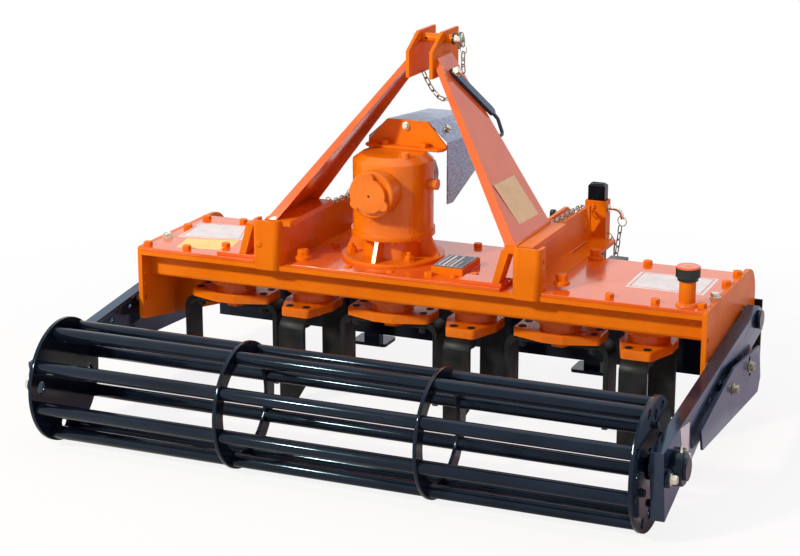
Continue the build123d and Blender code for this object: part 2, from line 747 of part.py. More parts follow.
def make_lower_pins():
    """Pins through the beam's web and the lower link's inner plate, with a head and an upright handle."""
    z = cover_z + lower_pin_height
    head_x = beam_spacing - lower_gap - beam_plate
    pin = cross_bar(lower_pin_radius, head_x, beam_spacing + beam_plate, lower_pin_y, z)
    head = cross_bar(lower_pin_head_radius, head_x - lower_pin_head, head_x, lower_pin_y, z)
    handle_x = head_x - lower_pin_handle_radius
    handle = upright(lower_pin_handle_radius, z, z + lower_pin_handle, handle_x, lower_pin_y)
    return Pos(hitch_x, 0, 0) * pair(pin + head + handle)


# Parking stands
def make_sleeves():
    half_x = sleeve_width / 2
    half_y = sleeve_depth / 2
    bore_x = stand_tube_width / 2 + sleeve_gap
    bore_y = stand_tube_depth / 2 + sleeve_gap
    outer = slab((stand_x - half_x, stand_x + half_x), (stand_y - half_y, stand_y + half_y),
                 (cover_z + sleeve_bottom, cover_z + sleeve_top))
    inner = slab((stand_x - bore_x, stand_x + bore_x), (stand_y - bore_y, stand_y + bore_y),
                 (cover_z + sleeve_bottom - overrun, cover_z + sleeve_top + overrun))
    return Pos(hitch_x, 0, 0) * pair(outer - inner)


def make_stand(side):
    """Flat tube with a closed, bevelled top and a foot plate."""
    x = hitch_x + side * stand_x
    half_x = stand_tube_width / 2
    half_y = stand_tube_depth / 2
    top = cover_z + sleeve_top + stand_show
    tube = slab((x - half_x, x + half_x), (stand_y - half_y, stand_y + half_y), (stand_foot_thickness, top))
    tube = chamfer(tube.edges().group_by(Axis.Z)[-1], stand_cap_edge)
    foot_x = stand_foot_width / 2
    foot_y = stand_foot_depth / 2
    foot = slab((x - foot_x, x + foot_x), (stand_y - foot_y, stand_y + foot_y), (0, stand_foot_thickness))
    foot = fillet(foot.edges().filter_by(Axis.Z), stand_foot_thickness)
    return tube + foot


def make_stand_pins():
    """Bent locking pins, each with its washer on the outer face of its sleeve."""
    z = cover_z + stand_pin_height
    face = stand_x + sleeve_width / 2
    end = face + stand_pin_run
    washer = cross_bar(stand_pin_head_radius, face, face + stand_pin_washer, stand_y, z)
    run = cross_bar(stand_pin_radius, face, end, stand_y, z)
    knee = Pos(end, stand_y, z) * Sphere(stand_pin_radius)
    drop = upright(stand_pin_radius, z - stand_pin_drop, z, end, stand_y)
    return Pos(hitch_x, 0, 0) * pair(washer + run + knee + drop)


# Front levelling board
def make_board():
    return slab((-board_half_width, board_half_width), (board_y, board_y + board_thickness),
                (cover_z - board_drop_bottom, cover_z - board_drop_top))


def make_board_straps():
    """Bent straps from under the case's flange down the back of the board."""
    top = case_top_z - case_flange_thickness
    points = [(half_depth - case_overhang, top), (board_y, top), (board_y, cover_z - board_strap_low),
              (board_y - board_strap, cover_z - board_strap_low), (board_y - board_strap, top - board_strap),
              (half_depth - case_overhang, top - board_strap)]
    half = board_strap_width / 2
    return pair(side_plate(points, board_strap_x - half, board_strap_x + half))


# Cage roller
def bar_places():
    """The (y, z) of each tube of the cage."""
    return [(roller_y + roller_bar_ring * cos(angle), roller_radius + roller_bar_ring * sin(angle))
            for angle in bar_angles]


def make_discs():
    """End discs with four lightening holes, a hub and a stub shaft outside."""
    low = roller_half_length - roller_disc_thickness
    disc = cross_bar(roller_radius, low, roller_half_length, roller_y, roller_radius)
    for y, z in bar_places():
        disc -= cross_bar(roller_bar_radius, low - overrun, roller_half_length + overrun, y, z)
    for index in range(roller_hole_count):
        angle = radians(roller_hole_angle + 360 * index / roller_hole_count)
        disc -= cross_bar(roller_hole_radius, low - overrun, roller_half_length + overrun,
                          roller_y + roller_hole_ring * cos(angle), roller_radius + roller_hole_ring * sin(angle))
    hub = cross_bar(roller_hub_radius, roller_half_length, roller_half_length + roller_hub_length,
                    roller_y, roller_radius)
    shaft = cross_bar(roller_shaft_radius, low, arm_outer_x + bearing_width - roller_shaft_short,
                      roller_y, roller_radius)
    return pair(disc + hub + shaft)


def make_rings():
    """Two narrow rings that carry the tubes at the thirds of the roller."""
    x = roller_half_length * ring_place_share
    half = roller_disc_thickness / 2
    ring = cross_bar(roller_radius, x - half, x + half, roller_y, roller_radius)
    ring -= cross_bar(roller_radius - ring_radial_width, x - overrun, x + overrun, roller_y, roller_radius)
    for y, z in bar_places():
        ring -= cross_bar(roller_bar_radius, x - overrun, x + overrun, y, z)
    return pair(ring)


def make_bars():
    """The eight tubes, open at their ends."""
    pieces = []
    for y, z in bar_places():
        bar = cross_bar(roller_bar_radius, -roller_half_length, roller_half_length, y, z)
        for side in (-1, 1):
            bar -= cross_bar(roller_bar_bore, side * (roller_half_length - roller_bar_bore_depth),
                             side * (roller_half_length + overrun), y, z)
        pieces.append(bar)
    return Compound(children=pieces)


# Roller arms, drawn level from the pivot and then turned down to the roller
def lay_arm(shape):
    """Turn a shape drawn about the pivot, with the roller's axis straight behind, to its place."""
    return Pos(0, pivot_y, pivot_z) * Rot(arm_angle, 0, 0) * shape


def make_arm(side):
    """Plate arm with a flange along its top and down its rear end."""
    rear = -arm_reach - arm_tail
    web = side_plate([(arm_nose, arm_nose_top), (arm_shoulder, arm_top_front), (rear, arm_top_rear),
                      (rear, -arm_tail_drop), (rear + arm_tail, -arm_tail_drop + arm_plate),
                      (rear + arm_tail + arm_waist_run, -arm_waist_drop), (arm_nose, -arm_front_drop)],
                     arm_outer_x - arm_plate, arm_outer_x)
    flange = side_plate([(arm_nose, arm_nose_top), (arm_shoulder, arm_top_front), (rear, arm_top_rear),
                         (rear, -arm_tail_drop), (rear + arm_plate, -arm_tail_drop),
                         (rear + arm_plate, arm_top_rear - arm_plate), (arm_shoulder, arm_top_front - arm_plate),
                         (arm_nose, arm_nose_top - arm_plate)], arm_inner_x, arm_outer_x)
    arm = web + flange
    arm -= cross_bar(roller_shaft_radius + seat, arm_inner_x - overrun, arm_outer_x + overrun, -arm_reach, 0)
    arm -= cross_bar(pivot_radius + seat, arm_inner_x - overrun, arm_outer_x + overrun, 0, 0)
    for run, rise in arm_hole_places:
        arm -= cross_bar(arm_hole_radius, arm_inner_x - overrun, arm_outer_x + overrun, -run, rise)
    if side < 0:
        arm = mirror(arm, Plane.YZ)
    return lay_arm(arm)


def make_bearings():
    """Flanged bearing units outside the arms, each with two bolt ears and a closed cap."""
    start = arm_outer_x
    cap_x = start + bearing_width
    unit = cross_bar(bearing_radius, start, cap_x, -arm_reach, 0)
    unit = chamfer(unit.edges().group_by(Axis.X)[-1], boss_edge)
    for place in (-bearing_ear_place, bearing_ear_place):
        unit += cross_bar(bearing_ear_radius, start, start + bearing_flange, place - arm_reach, 0)
    unit += slab((start, start + bearing_flange), (-bearing_ear_place - arm_reach, bearing_ear_place - arm_reach),
                 (-bearing_ear_radius, bearing_ear_radius))
    unit += cross_bar(bearing_cap_radius, start, cap_x + bearing_cap, -arm_reach, 0)
    unit -= cross_bar(roller_shaft_radius + running_gap, start - overrun, cap_x, -arm_reach, 0)
    return lay_arm(pair(unit))


def make_deflectors():
    """Side deflector plates beside the arms, each on two spacers; the front bolt has an upright slot."""
    low = arm_outer_x + deflector_gap
    outline = [(-deflector_length * along, -deflector_drop * down) for along, down in deflector_outline_shares]
    plate = side_plate(outline, low, low + deflector_plate)
    for run, drop in deflector_bolt_places:
        plate += cross_bar(deflector_bolt_radius, arm_outer_x, low, -run, -drop)
    run, drop = deflector_bolt_places[0]
    half_width = deflector_slot_width / 2
    half_length = deflector_slot_length / 2
    slot = slab((arm_outer_x + deflector_gap / 2, low + overrun), (-run - half_width, -run + half_width),
                (-drop - half_length, -drop + half_length))
    return lay_arm(pair(plate - slot))


def make_pivots():
    """Pivot bolts of the arms with a spacer between end plate and arm and a head at each end."""
    inside = inner_half
    outside = arm_outer_x + seat
    pin = cross_bar(pivot_radius, inside - pivot_head, outside + pivot_head, pivot_y, pivot_z)
    pin += cross_bar(pivot_head_radius, inside - pivot_head, inside, pivot_y, pivot_z)
    pin += cross_bar(pivot_spacer_radius, half_width, arm_outer_x - arm_plate - seat, pivot_y, pivot_z)
    pin += cross_bar(pivot_head_radius, outside, outside + pivot_head, pivot_y, pivot_z)
    return pair(pin)


# Small pieces on the cover
def make_filler_tube():
    return upright(filler_radius, cover_z, cover_z + filler_height, filler_x, filler_y)


def make_filler_cap():
    base = cover_z + filler_height
    cap = upright(filler_cap_radius, base, base + filler_cap_height, filler_x, filler_y)
    return chamfer(cap.edges().group_by(Axis.Z)[-1], filler_cap_edge)


def make_label_block():
    block = slab((label_x - label_length / 2, label_x + label_length / 2),
                 (label_y - label_depth / 2, label_y + label_depth / 2), (cover_z, cover_z + label_height))
    return chamfer(block.edges().group_by(Axis.Z)[-1], label_edge)


# Pieces of the frame, the roller and the drive
save(make_gear_case(), "gear_case")
save(make_cover(), "cover_plates")
save(make_cover_pads(), "cover_pads")
save(make_end_plates(), "end_plates")
save(make_rotor_housings(), "rotor_housings")
save(make_neck(), "gearbox_neck")
save(make_gearbox_body(), "gearbox_body")
save(make_gearbox_cap(), "gearbox_rear_cap")
save(make_input_shaft(), "input_shaft")
save(make_guard_bracket(), "guard_bracket")
save(make_guard_hood(), "guard_hood")
save(make_gussets(), "post_gussets")
save(make_clevis_plates(), "top_link_plates")
save(make_top_pin(), "top_link_pin")
save(make_shaft_holder(), "shaft_holder")
save(make_lower_pins(), "lower_link_pins")
save(make_sleeves(), "stand_sleeves")
save(make_stand_pins(), "stand_pins")
save(make_board(), "levelling_board")
save(make_board_straps(), "board_straps")
save(make_discs(), "roller_discs")
save(make_rings(), "roller_rings")
save(make_bars(), "roller_bars")
save(make_bearings(), "roller_bearings")
save(make_deflectors(), "side_deflectors")
save(make_pivots(), "arm_pivots")
save(make_filler_tube(), "filler_tube")
save(make_filler_cap(), "filler_cap")
save(make_label_block(), "label_block")
for side, word in ((-1, "left"), (1, "right")):
    save(make_beam(side), f"hitch_beam_{word}")
    save(make_strut(side), f"mast_strut_{word}")
    save(make_stand(side), f"parking_stand_{word}")
    save(make_arm(side), f"roller_arm_{word}")
holder = make_holder()
tines = make_tines()
for index, x in enumerate(rotor_xs):
    turn = rotor_phase if index % 2 == 0 else 90 - rotor_phase
    save(Pos(x, 0, 0) * Rot(0, 0, turn) * holder, f"tine_holder_{index + 1}")
    save(Pos(x, 0, 0) * Rot(0, 0, turn) * tines, f"tines_{index + 1}")
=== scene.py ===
# %% [markdown]
# # A power harrow with a cage roller
# The machine is a small power harrow for a tractor: six vertical rotors under a long gear case, a bevel
# gearbox on top, a three-point hitch in front, and a cage roller behind. Its solids come from the frame,
# already at their real places in metres, with +Y forward, +X to the right and +Z up.
# This lesson dresses them: first the camera and the light, then paints and metals, then what a mechanic
# would screw, hang or weld on.

# %% Load the frame and keep its box
import json
from math import cos, pi, radians, sin

import bpy
import numpy as np
from mathutils import Matrix, Vector


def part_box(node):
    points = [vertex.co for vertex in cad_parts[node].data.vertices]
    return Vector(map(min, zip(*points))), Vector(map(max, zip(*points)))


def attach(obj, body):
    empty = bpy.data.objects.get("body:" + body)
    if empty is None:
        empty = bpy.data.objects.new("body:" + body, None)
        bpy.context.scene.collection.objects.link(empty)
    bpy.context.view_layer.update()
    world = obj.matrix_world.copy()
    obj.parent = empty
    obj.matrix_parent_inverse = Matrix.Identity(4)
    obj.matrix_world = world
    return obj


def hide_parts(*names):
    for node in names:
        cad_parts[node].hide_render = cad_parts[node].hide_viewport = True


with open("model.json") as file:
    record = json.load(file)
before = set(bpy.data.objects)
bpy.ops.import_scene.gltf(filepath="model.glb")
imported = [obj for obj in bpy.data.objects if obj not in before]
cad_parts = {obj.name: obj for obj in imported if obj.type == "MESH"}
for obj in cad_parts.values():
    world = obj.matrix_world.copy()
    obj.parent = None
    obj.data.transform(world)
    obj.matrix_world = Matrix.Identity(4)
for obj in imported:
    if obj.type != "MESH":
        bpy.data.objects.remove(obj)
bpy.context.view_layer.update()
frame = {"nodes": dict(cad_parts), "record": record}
nodes = frame["nodes"]

# %% [markdown]
# ## Camera
# The photograph looks down at the machine from behind and a little to its right, from about four metres,
# with a long lens. A camera can be aimed by eye at a target, but then the solids only nearly fit. Here its
# yaw, pitch and place were worked out from the straight edges of the case and the roller, so that the solids
# fall where the photograph shows them.

# %% Camera
lens, sensor_width = 92.16, 36.0     # millimetres
yaw, pitch = 23.118, 15.82           # degrees to the left of forward, and down
camera_place = (1.6179, -3.8715, 1.5097)

camera_data = bpy.data.cameras.new("camera")
camera_data.lens = lens
camera_data.sensor_width = sensor_width
camera = bpy.data.objects.new("camera", camera_data)
bpy.context.scene.collection.objects.link(camera)
turn = Matrix.Rotation(radians(yaw), 4, "Z") @ Matrix.Rotation(radians(90 - pitch), 4, "X")
camera.matrix_world = Matrix.Translation(camera_place) @ turn
bpy.context.scene.camera = camera
print("camera at", camera_place, "with a lens of", lens, "mm")

# %% [markdown]
# ## Wiring shaders
# Every shader in this scene is a small net of nodes. It can be wired by hand in the node editor; in a script
# two helpers are shorter to read, one for any node and one for sums and products.

# %% Shader helpers
def shader(tree, kind, *sources, **values):
    """A new shader node: its first sockets take the sources in order, its named sockets the values."""
    made = tree.nodes.new("ShaderNode" + kind)
    for socket, source in zip(made.inputs, sources):
        tree.links.new(source, socket)
    for key, value in values.items():
        made.inputs[key.replace("_", " ")].default_value = value
    return made


def reckoned(tree, operation, *terms):
    """The output of a Math node; each term is a plain number or another node's output."""
    made = tree.nodes.new("ShaderNodeMath")
    made.operation = operation
    for socket, term in zip(made.inputs, terms):
        if isinstance(term, float):
            socket.default_value = term
        else:
            tree.links.new(term, socket)
    return made.outputs[0]


print("helpers for nodes are ready")

# %% [markdown]
# ## Light
# Sunlight in the photograph comes over the left shoulder: faces towards the camera are bright, faces
# towards the right are in shadow, and tops mirror a pale sky. A sun lamp would give a hard edge to every
# shadow, so a small square lamp stands there instead, and a wide one hangs above as the sky. The world
# lights softly. To the camera and to mirrors it shows plain white, so that metal has a bright room around
# it and the background needs no lamp of its own.

# %% Lamps and world
def area_lamp(name, place, target, size, power, color):
    """A square area lamp at a place, turned towards a target."""
    data = bpy.data.lights.new(name, "AREA")
    data.size = size
    data.energy = power
    data.color = color
    lamp = bpy.data.objects.new(name, data)
    aim = Vector(target) - Vector(place)
    lamp.matrix_world = Matrix.Translation(place) @ aim.to_track_quat("-Z", "Y").to_matrix().to_4x4()
    bpy.context.scene.collection.objects.link(lamp)
    print(name, "lamp", round(aim.length, 2), "m away,", power, "W")


area_lamp("key", (-2.9, -4.8, 3.7), (0, -0.1, 0.3), 0.5, 338.0, (0.98, 1.0, 0.78))
area_lamp("sky", (0.4, 0.8, 4.6), (0, 0, 0.3), 4.0, 50.0, (0.92, 0.92, 1.0))

world = bpy.data.worlds.new("studio")
bpy.context.scene.world = world
world.use_nodes = True
tree = world.node_tree
tree.nodes.clear()
path = tree.nodes.new("ShaderNodeLightPath")
mirrored = reckoned(tree, "MAXIMUM", path.outputs["Is Glossy Ray"], path.outputs["Is Transmission Ray"])
seen = reckoned(tree, "MAXIMUM", path.outputs["Is Camera Ray"], mirrored)
soft = shader(tree, "Background", Color=(1.0, 0.68, 0.74, 1.0), Strength=0.50)
plain = shader(tree, "Background", Color=(1.0, 1.0, 1.0, 1.0), Strength=1.0)
mix = shader(tree, "MixShader", seen, soft.outputs[0], plain.outputs[0])
shader(tree, "OutputWorld", mix.outputs[0])
bpy.context.scene.view_settings.view_transform = "Standard"

# %% [markdown]
# The floor is a pale sheet just under the roller. A floor that is lit only by the lamps turns grey towards
# the background. So where the camera sees it directly it is lifted towards white, more so away from the
# machine, and only the shadow stays. Its grid of faces is the first shape from a formula.

# %% Floor
floor_half, floor_depth, floor_lines = 6.0, 0.001, 5
fade_start, fade_end, least_share = 0.7, 1.9, 0.86


def grid_faces(rows, columns, close_rows=False, close_columns=False):
    """Quads of a grid of points, numbered row by row; a closed direction joins its last line to its first."""
    row = np.arange(rows if close_rows else rows - 1)
    column = np.arange(columns if close_columns else columns - 1)
    i, j = (part.ravel() for part in np.meshgrid(row, column, indexing="ij"))
    i2, j2 = (i + 1) % rows, (j + 1) % columns
    return np.stack([i * columns + j, i * columns + j2, i2 * columns + j2, i2 * columns + j], 1)


floor_mesh = bpy.data.meshes.new("floor")
line = np.linspace(-floor_half, floor_half, floor_lines)
u, v = np.meshgrid(line, line, indexing="ij")
floor_mesh.from_pydata(np.stack([u, v, np.full_like(u, -floor_depth)], -1).reshape(-1, 3).tolist(), [],
                       grid_faces(floor_lines, floor_lines).tolist())
floor_mesh.flip_normals()
floor = bpy.data.objects.new("floor", floor_mesh)
bpy.context.scene.collection.objects.link(floor)

floor_paint = bpy.data.materials.new("floor")
floor_paint.use_nodes = True
tree = floor_paint.node_tree
shade = tree.nodes["Principled BSDF"]
shade.inputs["Base Color"].default_value = (0.86, 0.87, 0.88, 1.0)
shade.inputs["Roughness"].default_value = 0.9
shade.inputs["Specular IOR Level"].default_value = 0.1
glow = shader(tree, "Emission", Color=(1.0, 1.0, 1.0, 1.0), Strength=1.0)
path = tree.nodes.new("ShaderNodeLightPath")
place = tree.nodes.new("ShaderNodeTexCoord")
away = tree.nodes.new("ShaderNodeVectorMath")
away.operation = "LENGTH"
tree.links.new(place.outputs["Object"], away.inputs[0])
share = shader(tree, "MapRange", away.outputs["Value"], From_Min=fade_start, From_Max=fade_end,
               To_Min=least_share, To_Max=1.0)
lifted = reckoned(tree, "MULTIPLY", share.outputs[0], path.outputs["Is Camera Ray"])
mix = shader(tree, "MixShader", lifted, shade.outputs[0], glow.outputs[0])
tree.links.new(mix.outputs[0], tree.nodes["Material Output"].inputs["Surface"])
floor_mesh.materials.append(floor_paint)
print("floor faces", len(floor_mesh.polygons))

# %% [markdown]
# ## Paints and metals
# Real enamel is never one flat colour: it wanders a little, its surface has a fine orange peel, and dust
# dulls it in patches. Painted image textures could show this, but they need a flat layout of every piece.
# Noises that read each piece's own coordinates need none, and they stay on it when it moves, so one recipe
# makes every finish here.

# %% Finish recipe
coat_roughness = 0.06
peel_depth = 0.0006                  # metres
ramp_ends = (0.32, 0.68)             # shares of the noise at which the two colours are pure
dirt_ends = (0.52, 0.78)             # shares of the noise between which dirt grows from none to full
dirt_dulls = 0.5


def finish(name, colors, rough, metal=0.0, coat=0.0, gloss=0.5, tint=(1, 1, 1), scale=9.0, cells=False,
           stretch=(1, 1, 1), bump=0.0, bump_scale=400.0, grain=0.0, dirt=None, dirt_amount=0.0,
           dirt_scale=5.0):
    """A material on object coordinates. One noise, or with cells a pattern of crystals, blends two colours.
    A finer noise moves the roughness between two values. Dirt lies over part of it and dulls it. The finest
    noise bumps it, and grain, in metres, makes the bumps deeper."""
    material = bpy.data.materials.new(name)
    material.use_nodes = True
    tree = material.node_tree
    shade = tree.nodes["Principled BSDF"]
    place = tree.nodes.new("ShaderNodeTexCoord")
    stretched = shader(tree, "Mapping", place.outputs["Object"], Scale=stretch).outputs[0]

    def noise(size, detail):
        return shader(tree, "TexNoise", stretched, Scale=size, Detail=detail).outputs[0]

    if cells:
        pattern = shader(tree, "TexVoronoi", stretched, Scale=scale).outputs["Color"]
    else:
        pattern = noise(scale, 4.0)
    ramp = shader(tree, "ValToRGB", pattern)
    for stop, end, color in zip(ramp.color_ramp.elements, ramp_ends, colors):
        stop.position = end
        stop.color = (*color, 1)
    color = ramp.outputs[0]
    roughness = shader(tree, "MapRange", noise(scale * 2.3, 6.0), To_Min=rough[0], To_Max=rough[1]).outputs[0]
    if dirt is not None:
        mask = shader(tree, "MapRange", noise(dirt_scale, 8.0), From_Min=dirt_ends[0], From_Max=dirt_ends[1],
                      To_Max=dirt_amount).outputs[0]
        over = tree.nodes.new("ShaderNodeMix")
        over.data_type = "RGBA"
        tree.links.new(mask, over.inputs["Factor"])
        tree.links.new(color, over.inputs[6])
        over.inputs[7].default_value = (*dirt, 1)
        color = over.outputs[2]
        roughness = reckoned(tree, "MULTIPLY_ADD", mask, dirt_dulls, roughness)
    tree.links.new(color, shade.inputs["Base Color"])
    tree.links.new(roughness, shade.inputs["Roughness"])
    for socket, value in {"Metallic": metal, "Specular IOR Level": gloss, "Specular Tint": (*tint, 1),
                          "Coat Weight": coat, "Coat Roughness": coat_roughness}.items():
        shade.inputs[socket].default_value = value
    if bump:
        rise = shader(tree, "Bump", Strength=bump, Distance=peel_depth + grain)
        tree.links.new(noise(bump_scale, 3.0), rise.inputs["Height"])
        tree.links.new(rise.outputs[0], shade.inputs["Normal"])
    print(name, len(tree.nodes), "nodes")
    return material


# %% [markdown]
# The frame is orange and the roller black. Large flat plates are smoother than folded ones and mirror more of
# the sky, and the cast gearbox shows sand grain under the same paint. One orange for all of them would look
# like plastic, so each of the three has its own gloss and grain. The smoother orange is also pinker, with a
# pink tint in its reflections: a painted sheen of the sky on the cover, the struts and the cap's top. All
# black reflects with a blue tint, and the smoother black is a bluish part metal: a painted reflection of a
# blue sky.

# %% Enamels
orange = finish("orange_enamel", [(0.76, 0.160, 0.003), (0.86, 0.208, 0.006)], (0.20, 0.32), coat=0.02,
                gloss=0.07, bump=0.05, bump_scale=260.0, dirt=(0.45, 0.07, 0.015), dirt_amount=0.25)
# Smoother orange: its pinker colour and the pink tint of its reflections are a painted sheen of the sky.
painted_sheen_orange = finish("orange_enamel_polished_painted_sheen", [(0.76, 0.115, 0.010), (0.86, 0.155, 0.014)], (0.09, 0.17),
                      coat=0.4, tint=(1.0, 0.66, 0.70), bump=0.05, bump_scale=260.0,
                      dirt=(0.50, 0.10, 0.06), dirt_amount=0.25)
cast_orange = finish("orange_enamel_on_casting", [(0.74, 0.155, 0.002), (0.88, 0.21, 0.005)], (0.20, 0.34),
                     coat=0.12, gloss=0.3, bump=0.35, bump_scale=170.0, grain=0.0006,
                     dirt=(0.42, 0.06, 0.01), dirt_amount=0.3, dirt_scale=14.0)
# The blue tint of the black's reflections is a painted reflection of a blue sky.
black = finish("black_enamel", [(0.002, 0.0035, 0.008), (0.006, 0.010, 0.022)], (0.07, 0.16), gloss=0.32,
               tint=(0.55, 0.75, 1.0), bump=0.04, bump_scale=300.0, dirt=(0.010, 0.014, 0.026),
               dirt_amount=0.25)
# Smoother black for the arms, the deflectors and the shaft's rest: its bluish colour, made part metal, tints
# every reflection blue, a painted blue sheen of the sky.
painted_sheen_black = finish("black_enamel_polished_painted_sheen", [(0.016, 0.032, 0.062), (0.030, 0.056, 0.104)], (0.10, 0.20),
                     metal=0.55, coat=0.35, tint=(0.6, 0.75, 1.0), bump=0.04, bump_scale=300.0,
                     dirt=(0.02, 0.025, 0.05), dirt_amount=0.35)

# %% [markdown]
# Metals take their colour from what they mirror, so here the roughness and the grain do the work: yellowed
# zinc on pins and screws, darker zinc on chains, zinc crystals on the dipped hood, lines from the lathe on
# the shaft, and scale on forgings. Films and the blue plate are thin and nearly matt.

# %% Metals, plastic and films
zinc = finish("zinc_plate", [(0.62, 0.58, 0.47), (0.76, 0.74, 0.66)], (0.2, 0.38), metal=1.0, scale=60.0,
              bump=0.08, bump_scale=700.0, dirt=(0.3, 0.25, 0.15), dirt_amount=0.35, dirt_scale=60.0)
chain_zinc = finish("chain_zinc", [(0.16, 0.15, 0.12), (0.52, 0.48, 0.40)], (0.22, 0.45), metal=1.0,
                    scale=180.0, bump=0.1, bump_scale=900.0, dirt=(0.10, 0.07, 0.04), dirt_amount=0.6,
                    dirt_scale=140.0)
galvanised = finish("galvanised_sheet", [(0.21, 0.25, 0.35), (0.38, 0.47, 0.65)], (0.24, 0.46), metal=0.8,
                    scale=360.0, cells=True, bump=0.08, bump_scale=300.0, dirt=(0.20, 0.19, 0.22),
                    dirt_amount=0.5, dirt_scale=7.0)
bright = finish("bright_steel", [(0.48, 0.48, 0.48), (0.64, 0.64, 0.62)], (0.16, 0.3), metal=1.0,
                scale=40.0, stretch=(1, 0.1, 1), bump=0.06, bump_scale=500.0)
forged = finish("forged_steel", [(0.005, 0.008, 0.010), (0.018, 0.023, 0.028)], (0.34, 0.55), metal=0.2,
                gloss=0.25, scale=30.0, bump=0.3, bump_scale=220.0, grain=0.0004,
                dirt=(0.07, 0.04, 0.025), dirt_amount=0.35, dirt_scale=18.0)
plastic = finish("black_plastic", [(0.003, 0.004, 0.005), (0.008, 0.010, 0.010)], (0.24, 0.4),
                 gloss=0.4, bump=0.1, bump_scale=600.0)
film_look = {"rough": (0.24, 0.34), "scale": 30.0, "bump": 0.04, "dirt_amount": 0.3, "dirt_scale": 26.0}
white_film = finish("white_film", [(0.72, 0.76, 0.80), (0.84, 0.87, 0.90)], dirt=(0.42, 0.36, 0.30),
                    **film_look)
yellow_film = finish("yellow_film", [(0.86, 0.66, 0.12), (0.92, 0.76, 0.22)], dirt=(0.45, 0.30, 0.12),
                     **film_look)
cream_film = finish("cream_film", [(0.80, 0.60, 0.25), (0.88, 0.70, 0.36)], dirt=(0.45, 0.28, 0.12),
                    **film_look)
blue_plate = finish("blue_plate", [(0.008, 0.030, 0.085), (0.020, 0.055, 0.14)], (0.2, 0.34),
                    gloss=0.25, scale=50.0, bump=0.05, dirt=(0.16, 0.19, 0.26), dirt_amount=0.35,
                    dirt_scale=34.0)

# %% [markdown]
# Every CAD solid is carried over. Its edges are sharp as a knife, and no real edge is. The edges could be
# rounded in the CAD, which makes every solid heavy; a thin bevel here catches the light as the softened edge
# of a painted plate does. The weld before it only joins the importer's split triangles.

# %% Dress the CAD nodes
paints = {"orange_paint": orange, "black_paint": black, "galvanised_sheet": galvanised,
          "bright_steel": bright, "zinc_plate": zinc, "tine_steel": forged, "black_plastic": plastic}
# The cover, the struts, the arms, the deflectors and the shaft's rest take the finishes with a painted sheen.
polished_painted_sheen_nodes = {"cover_plates": painted_sheen_orange, "cover_pads": painted_sheen_orange, "mast_strut_left": painted_sheen_orange,
                  "mast_strut_right": painted_sheen_orange, "side_deflectors": painted_sheen_black,
                  "roller_arm_left": painted_sheen_black, "roller_arm_right": painted_sheen_black, "shaft_holder": painted_sheen_black}
cast_nodes = ("gearbox_neck", "gearbox_body", "gearbox_rear_cap", "rotor_housings")
bevels = {"guard_hood": 0.0006, "gear_case": 0.002, "gearbox_neck": 0.002, "gearbox_body": 0.0016}
plain_bevel, weld_distance, sharp_angle = 0.0012, 0.00002, 35


def soften(piece, width):
    """Join split vertices and bevel the edges that are sharper than the sharp angle, in two steps."""
    weld = piece.modifiers.new("join", "WELD")
    weld.merge_threshold = weld_distance
    edge = piece.modifiers.new("edge", "BEVEL")
    edge.width = width
    edge.segments = 2
    edge.limit_method = "ANGLE"
    edge.angle_limit = radians(sharp_angle)
    edge.harden_normals = True


for part in frame["record"]["subparts"]:
    name, slot = part["node"], part["material_slot"]
    piece = nodes[name]
    cast = name in cast_nodes or name.startswith("tine_holder")
    piece.data.materials.clear()
    dress = polished_painted_sheen_nodes.get(name, paints[slot])
    piece.data.materials.append(cast_orange if cast and slot == "orange_paint" else dress)
    soften(piece, bevels.get(name, plain_bevel))

# %% [markdown]
# ## Shapes from formulas
# Small pieces could be modelled one by one with Blender's primitives. Here each is a grid of points worked
# out at once, which stays exact when it is copied or moved. A shape is a pair: its points, and its faces as
# blocks of equal corner counts. Turned pieces are rings on a profile, and bent wires are a circle along a
# path.

# %% Turned shapes and wires
def around(steps, shift=0.0):
    """Equal angles round a circle, moved on by a share of a step."""
    return (np.arange(steps) + shift) * 2 * pi / steps


def turned(rings, heights):
    """Rings about +Z, closed by a face at both ends: x = r cos a, y = r sin a, z = the ring's height."""
    rows, steps = rings.shape
    a = around(steps)
    z = np.broadcast_to(heights[:, None], rings.shape)
    points = np.stack([rings * np.cos(a), rings * np.sin(a), z], -1)
    caps = np.stack([np.arange(steps)[::-1], np.arange(steps) + (rows - 1) * steps])
    return points.reshape(-1, 3), [grid_faces(rows, steps, close_columns=True), caps]


def lathe(profile, steps=24, hexagon=None):
    """Turned shape of rows (r, h). With hexagon, the distance from the axis to a flat, r is cut at the
    flats: it is the smaller of r and flat / cos(((a + 30) mod 60) - 30 degrees)."""
    r, h = np.array(profile, float).T
    rings = np.broadcast_to(r[:, None], (len(r), steps))
    if hexagon:
        flat = hexagon / np.cos((np.degrees(around(steps)) + 30) % 60 * pi / 180 - pi / 6)
        rings = np.minimum(rings, flat[None])
    return turned(rings, h)


def wire(path, radius, sides=8, closed=False):
    """Round wire along a path: p + radius (n cos a + b sin a), with n and b square to the path. n leans away
    from the path's own flattest direction, so that flat bends stay even."""
    path = np.array(path, float)
    ahead = np.roll(path, -1, 0) - np.roll(path, 1, 0) if closed else np.gradient(path, axis=0)
    ahead = ahead / np.linalg.norm(ahead, axis=1, keepdims=True)
    flat = np.linalg.svd(path - path.mean(0))[2][2]
    n = np.cross(ahead, flat)
    n = n / np.linalg.norm(n, axis=1, keepdims=True)
    b = np.cross(ahead, n)
    a = around(sides)
    thick = np.broadcast_to(np.asarray(radius, float), len(path))[:, None, None]
    points = path[:, None] + thick * (n[:, None] * np.cos(a)[:, None] + b[:, None] * np.sin(a)[:, None])
    blocks = [grid_faces(len(path), sides, close_rows=closed, close_columns=True)]
    if not closed:
        blocks.append(np.stack([np.arange(sides)[::-1], np.arange(sides) + (len(path) - 1) * sides]))
    return points.reshape(-1, 3), blocks


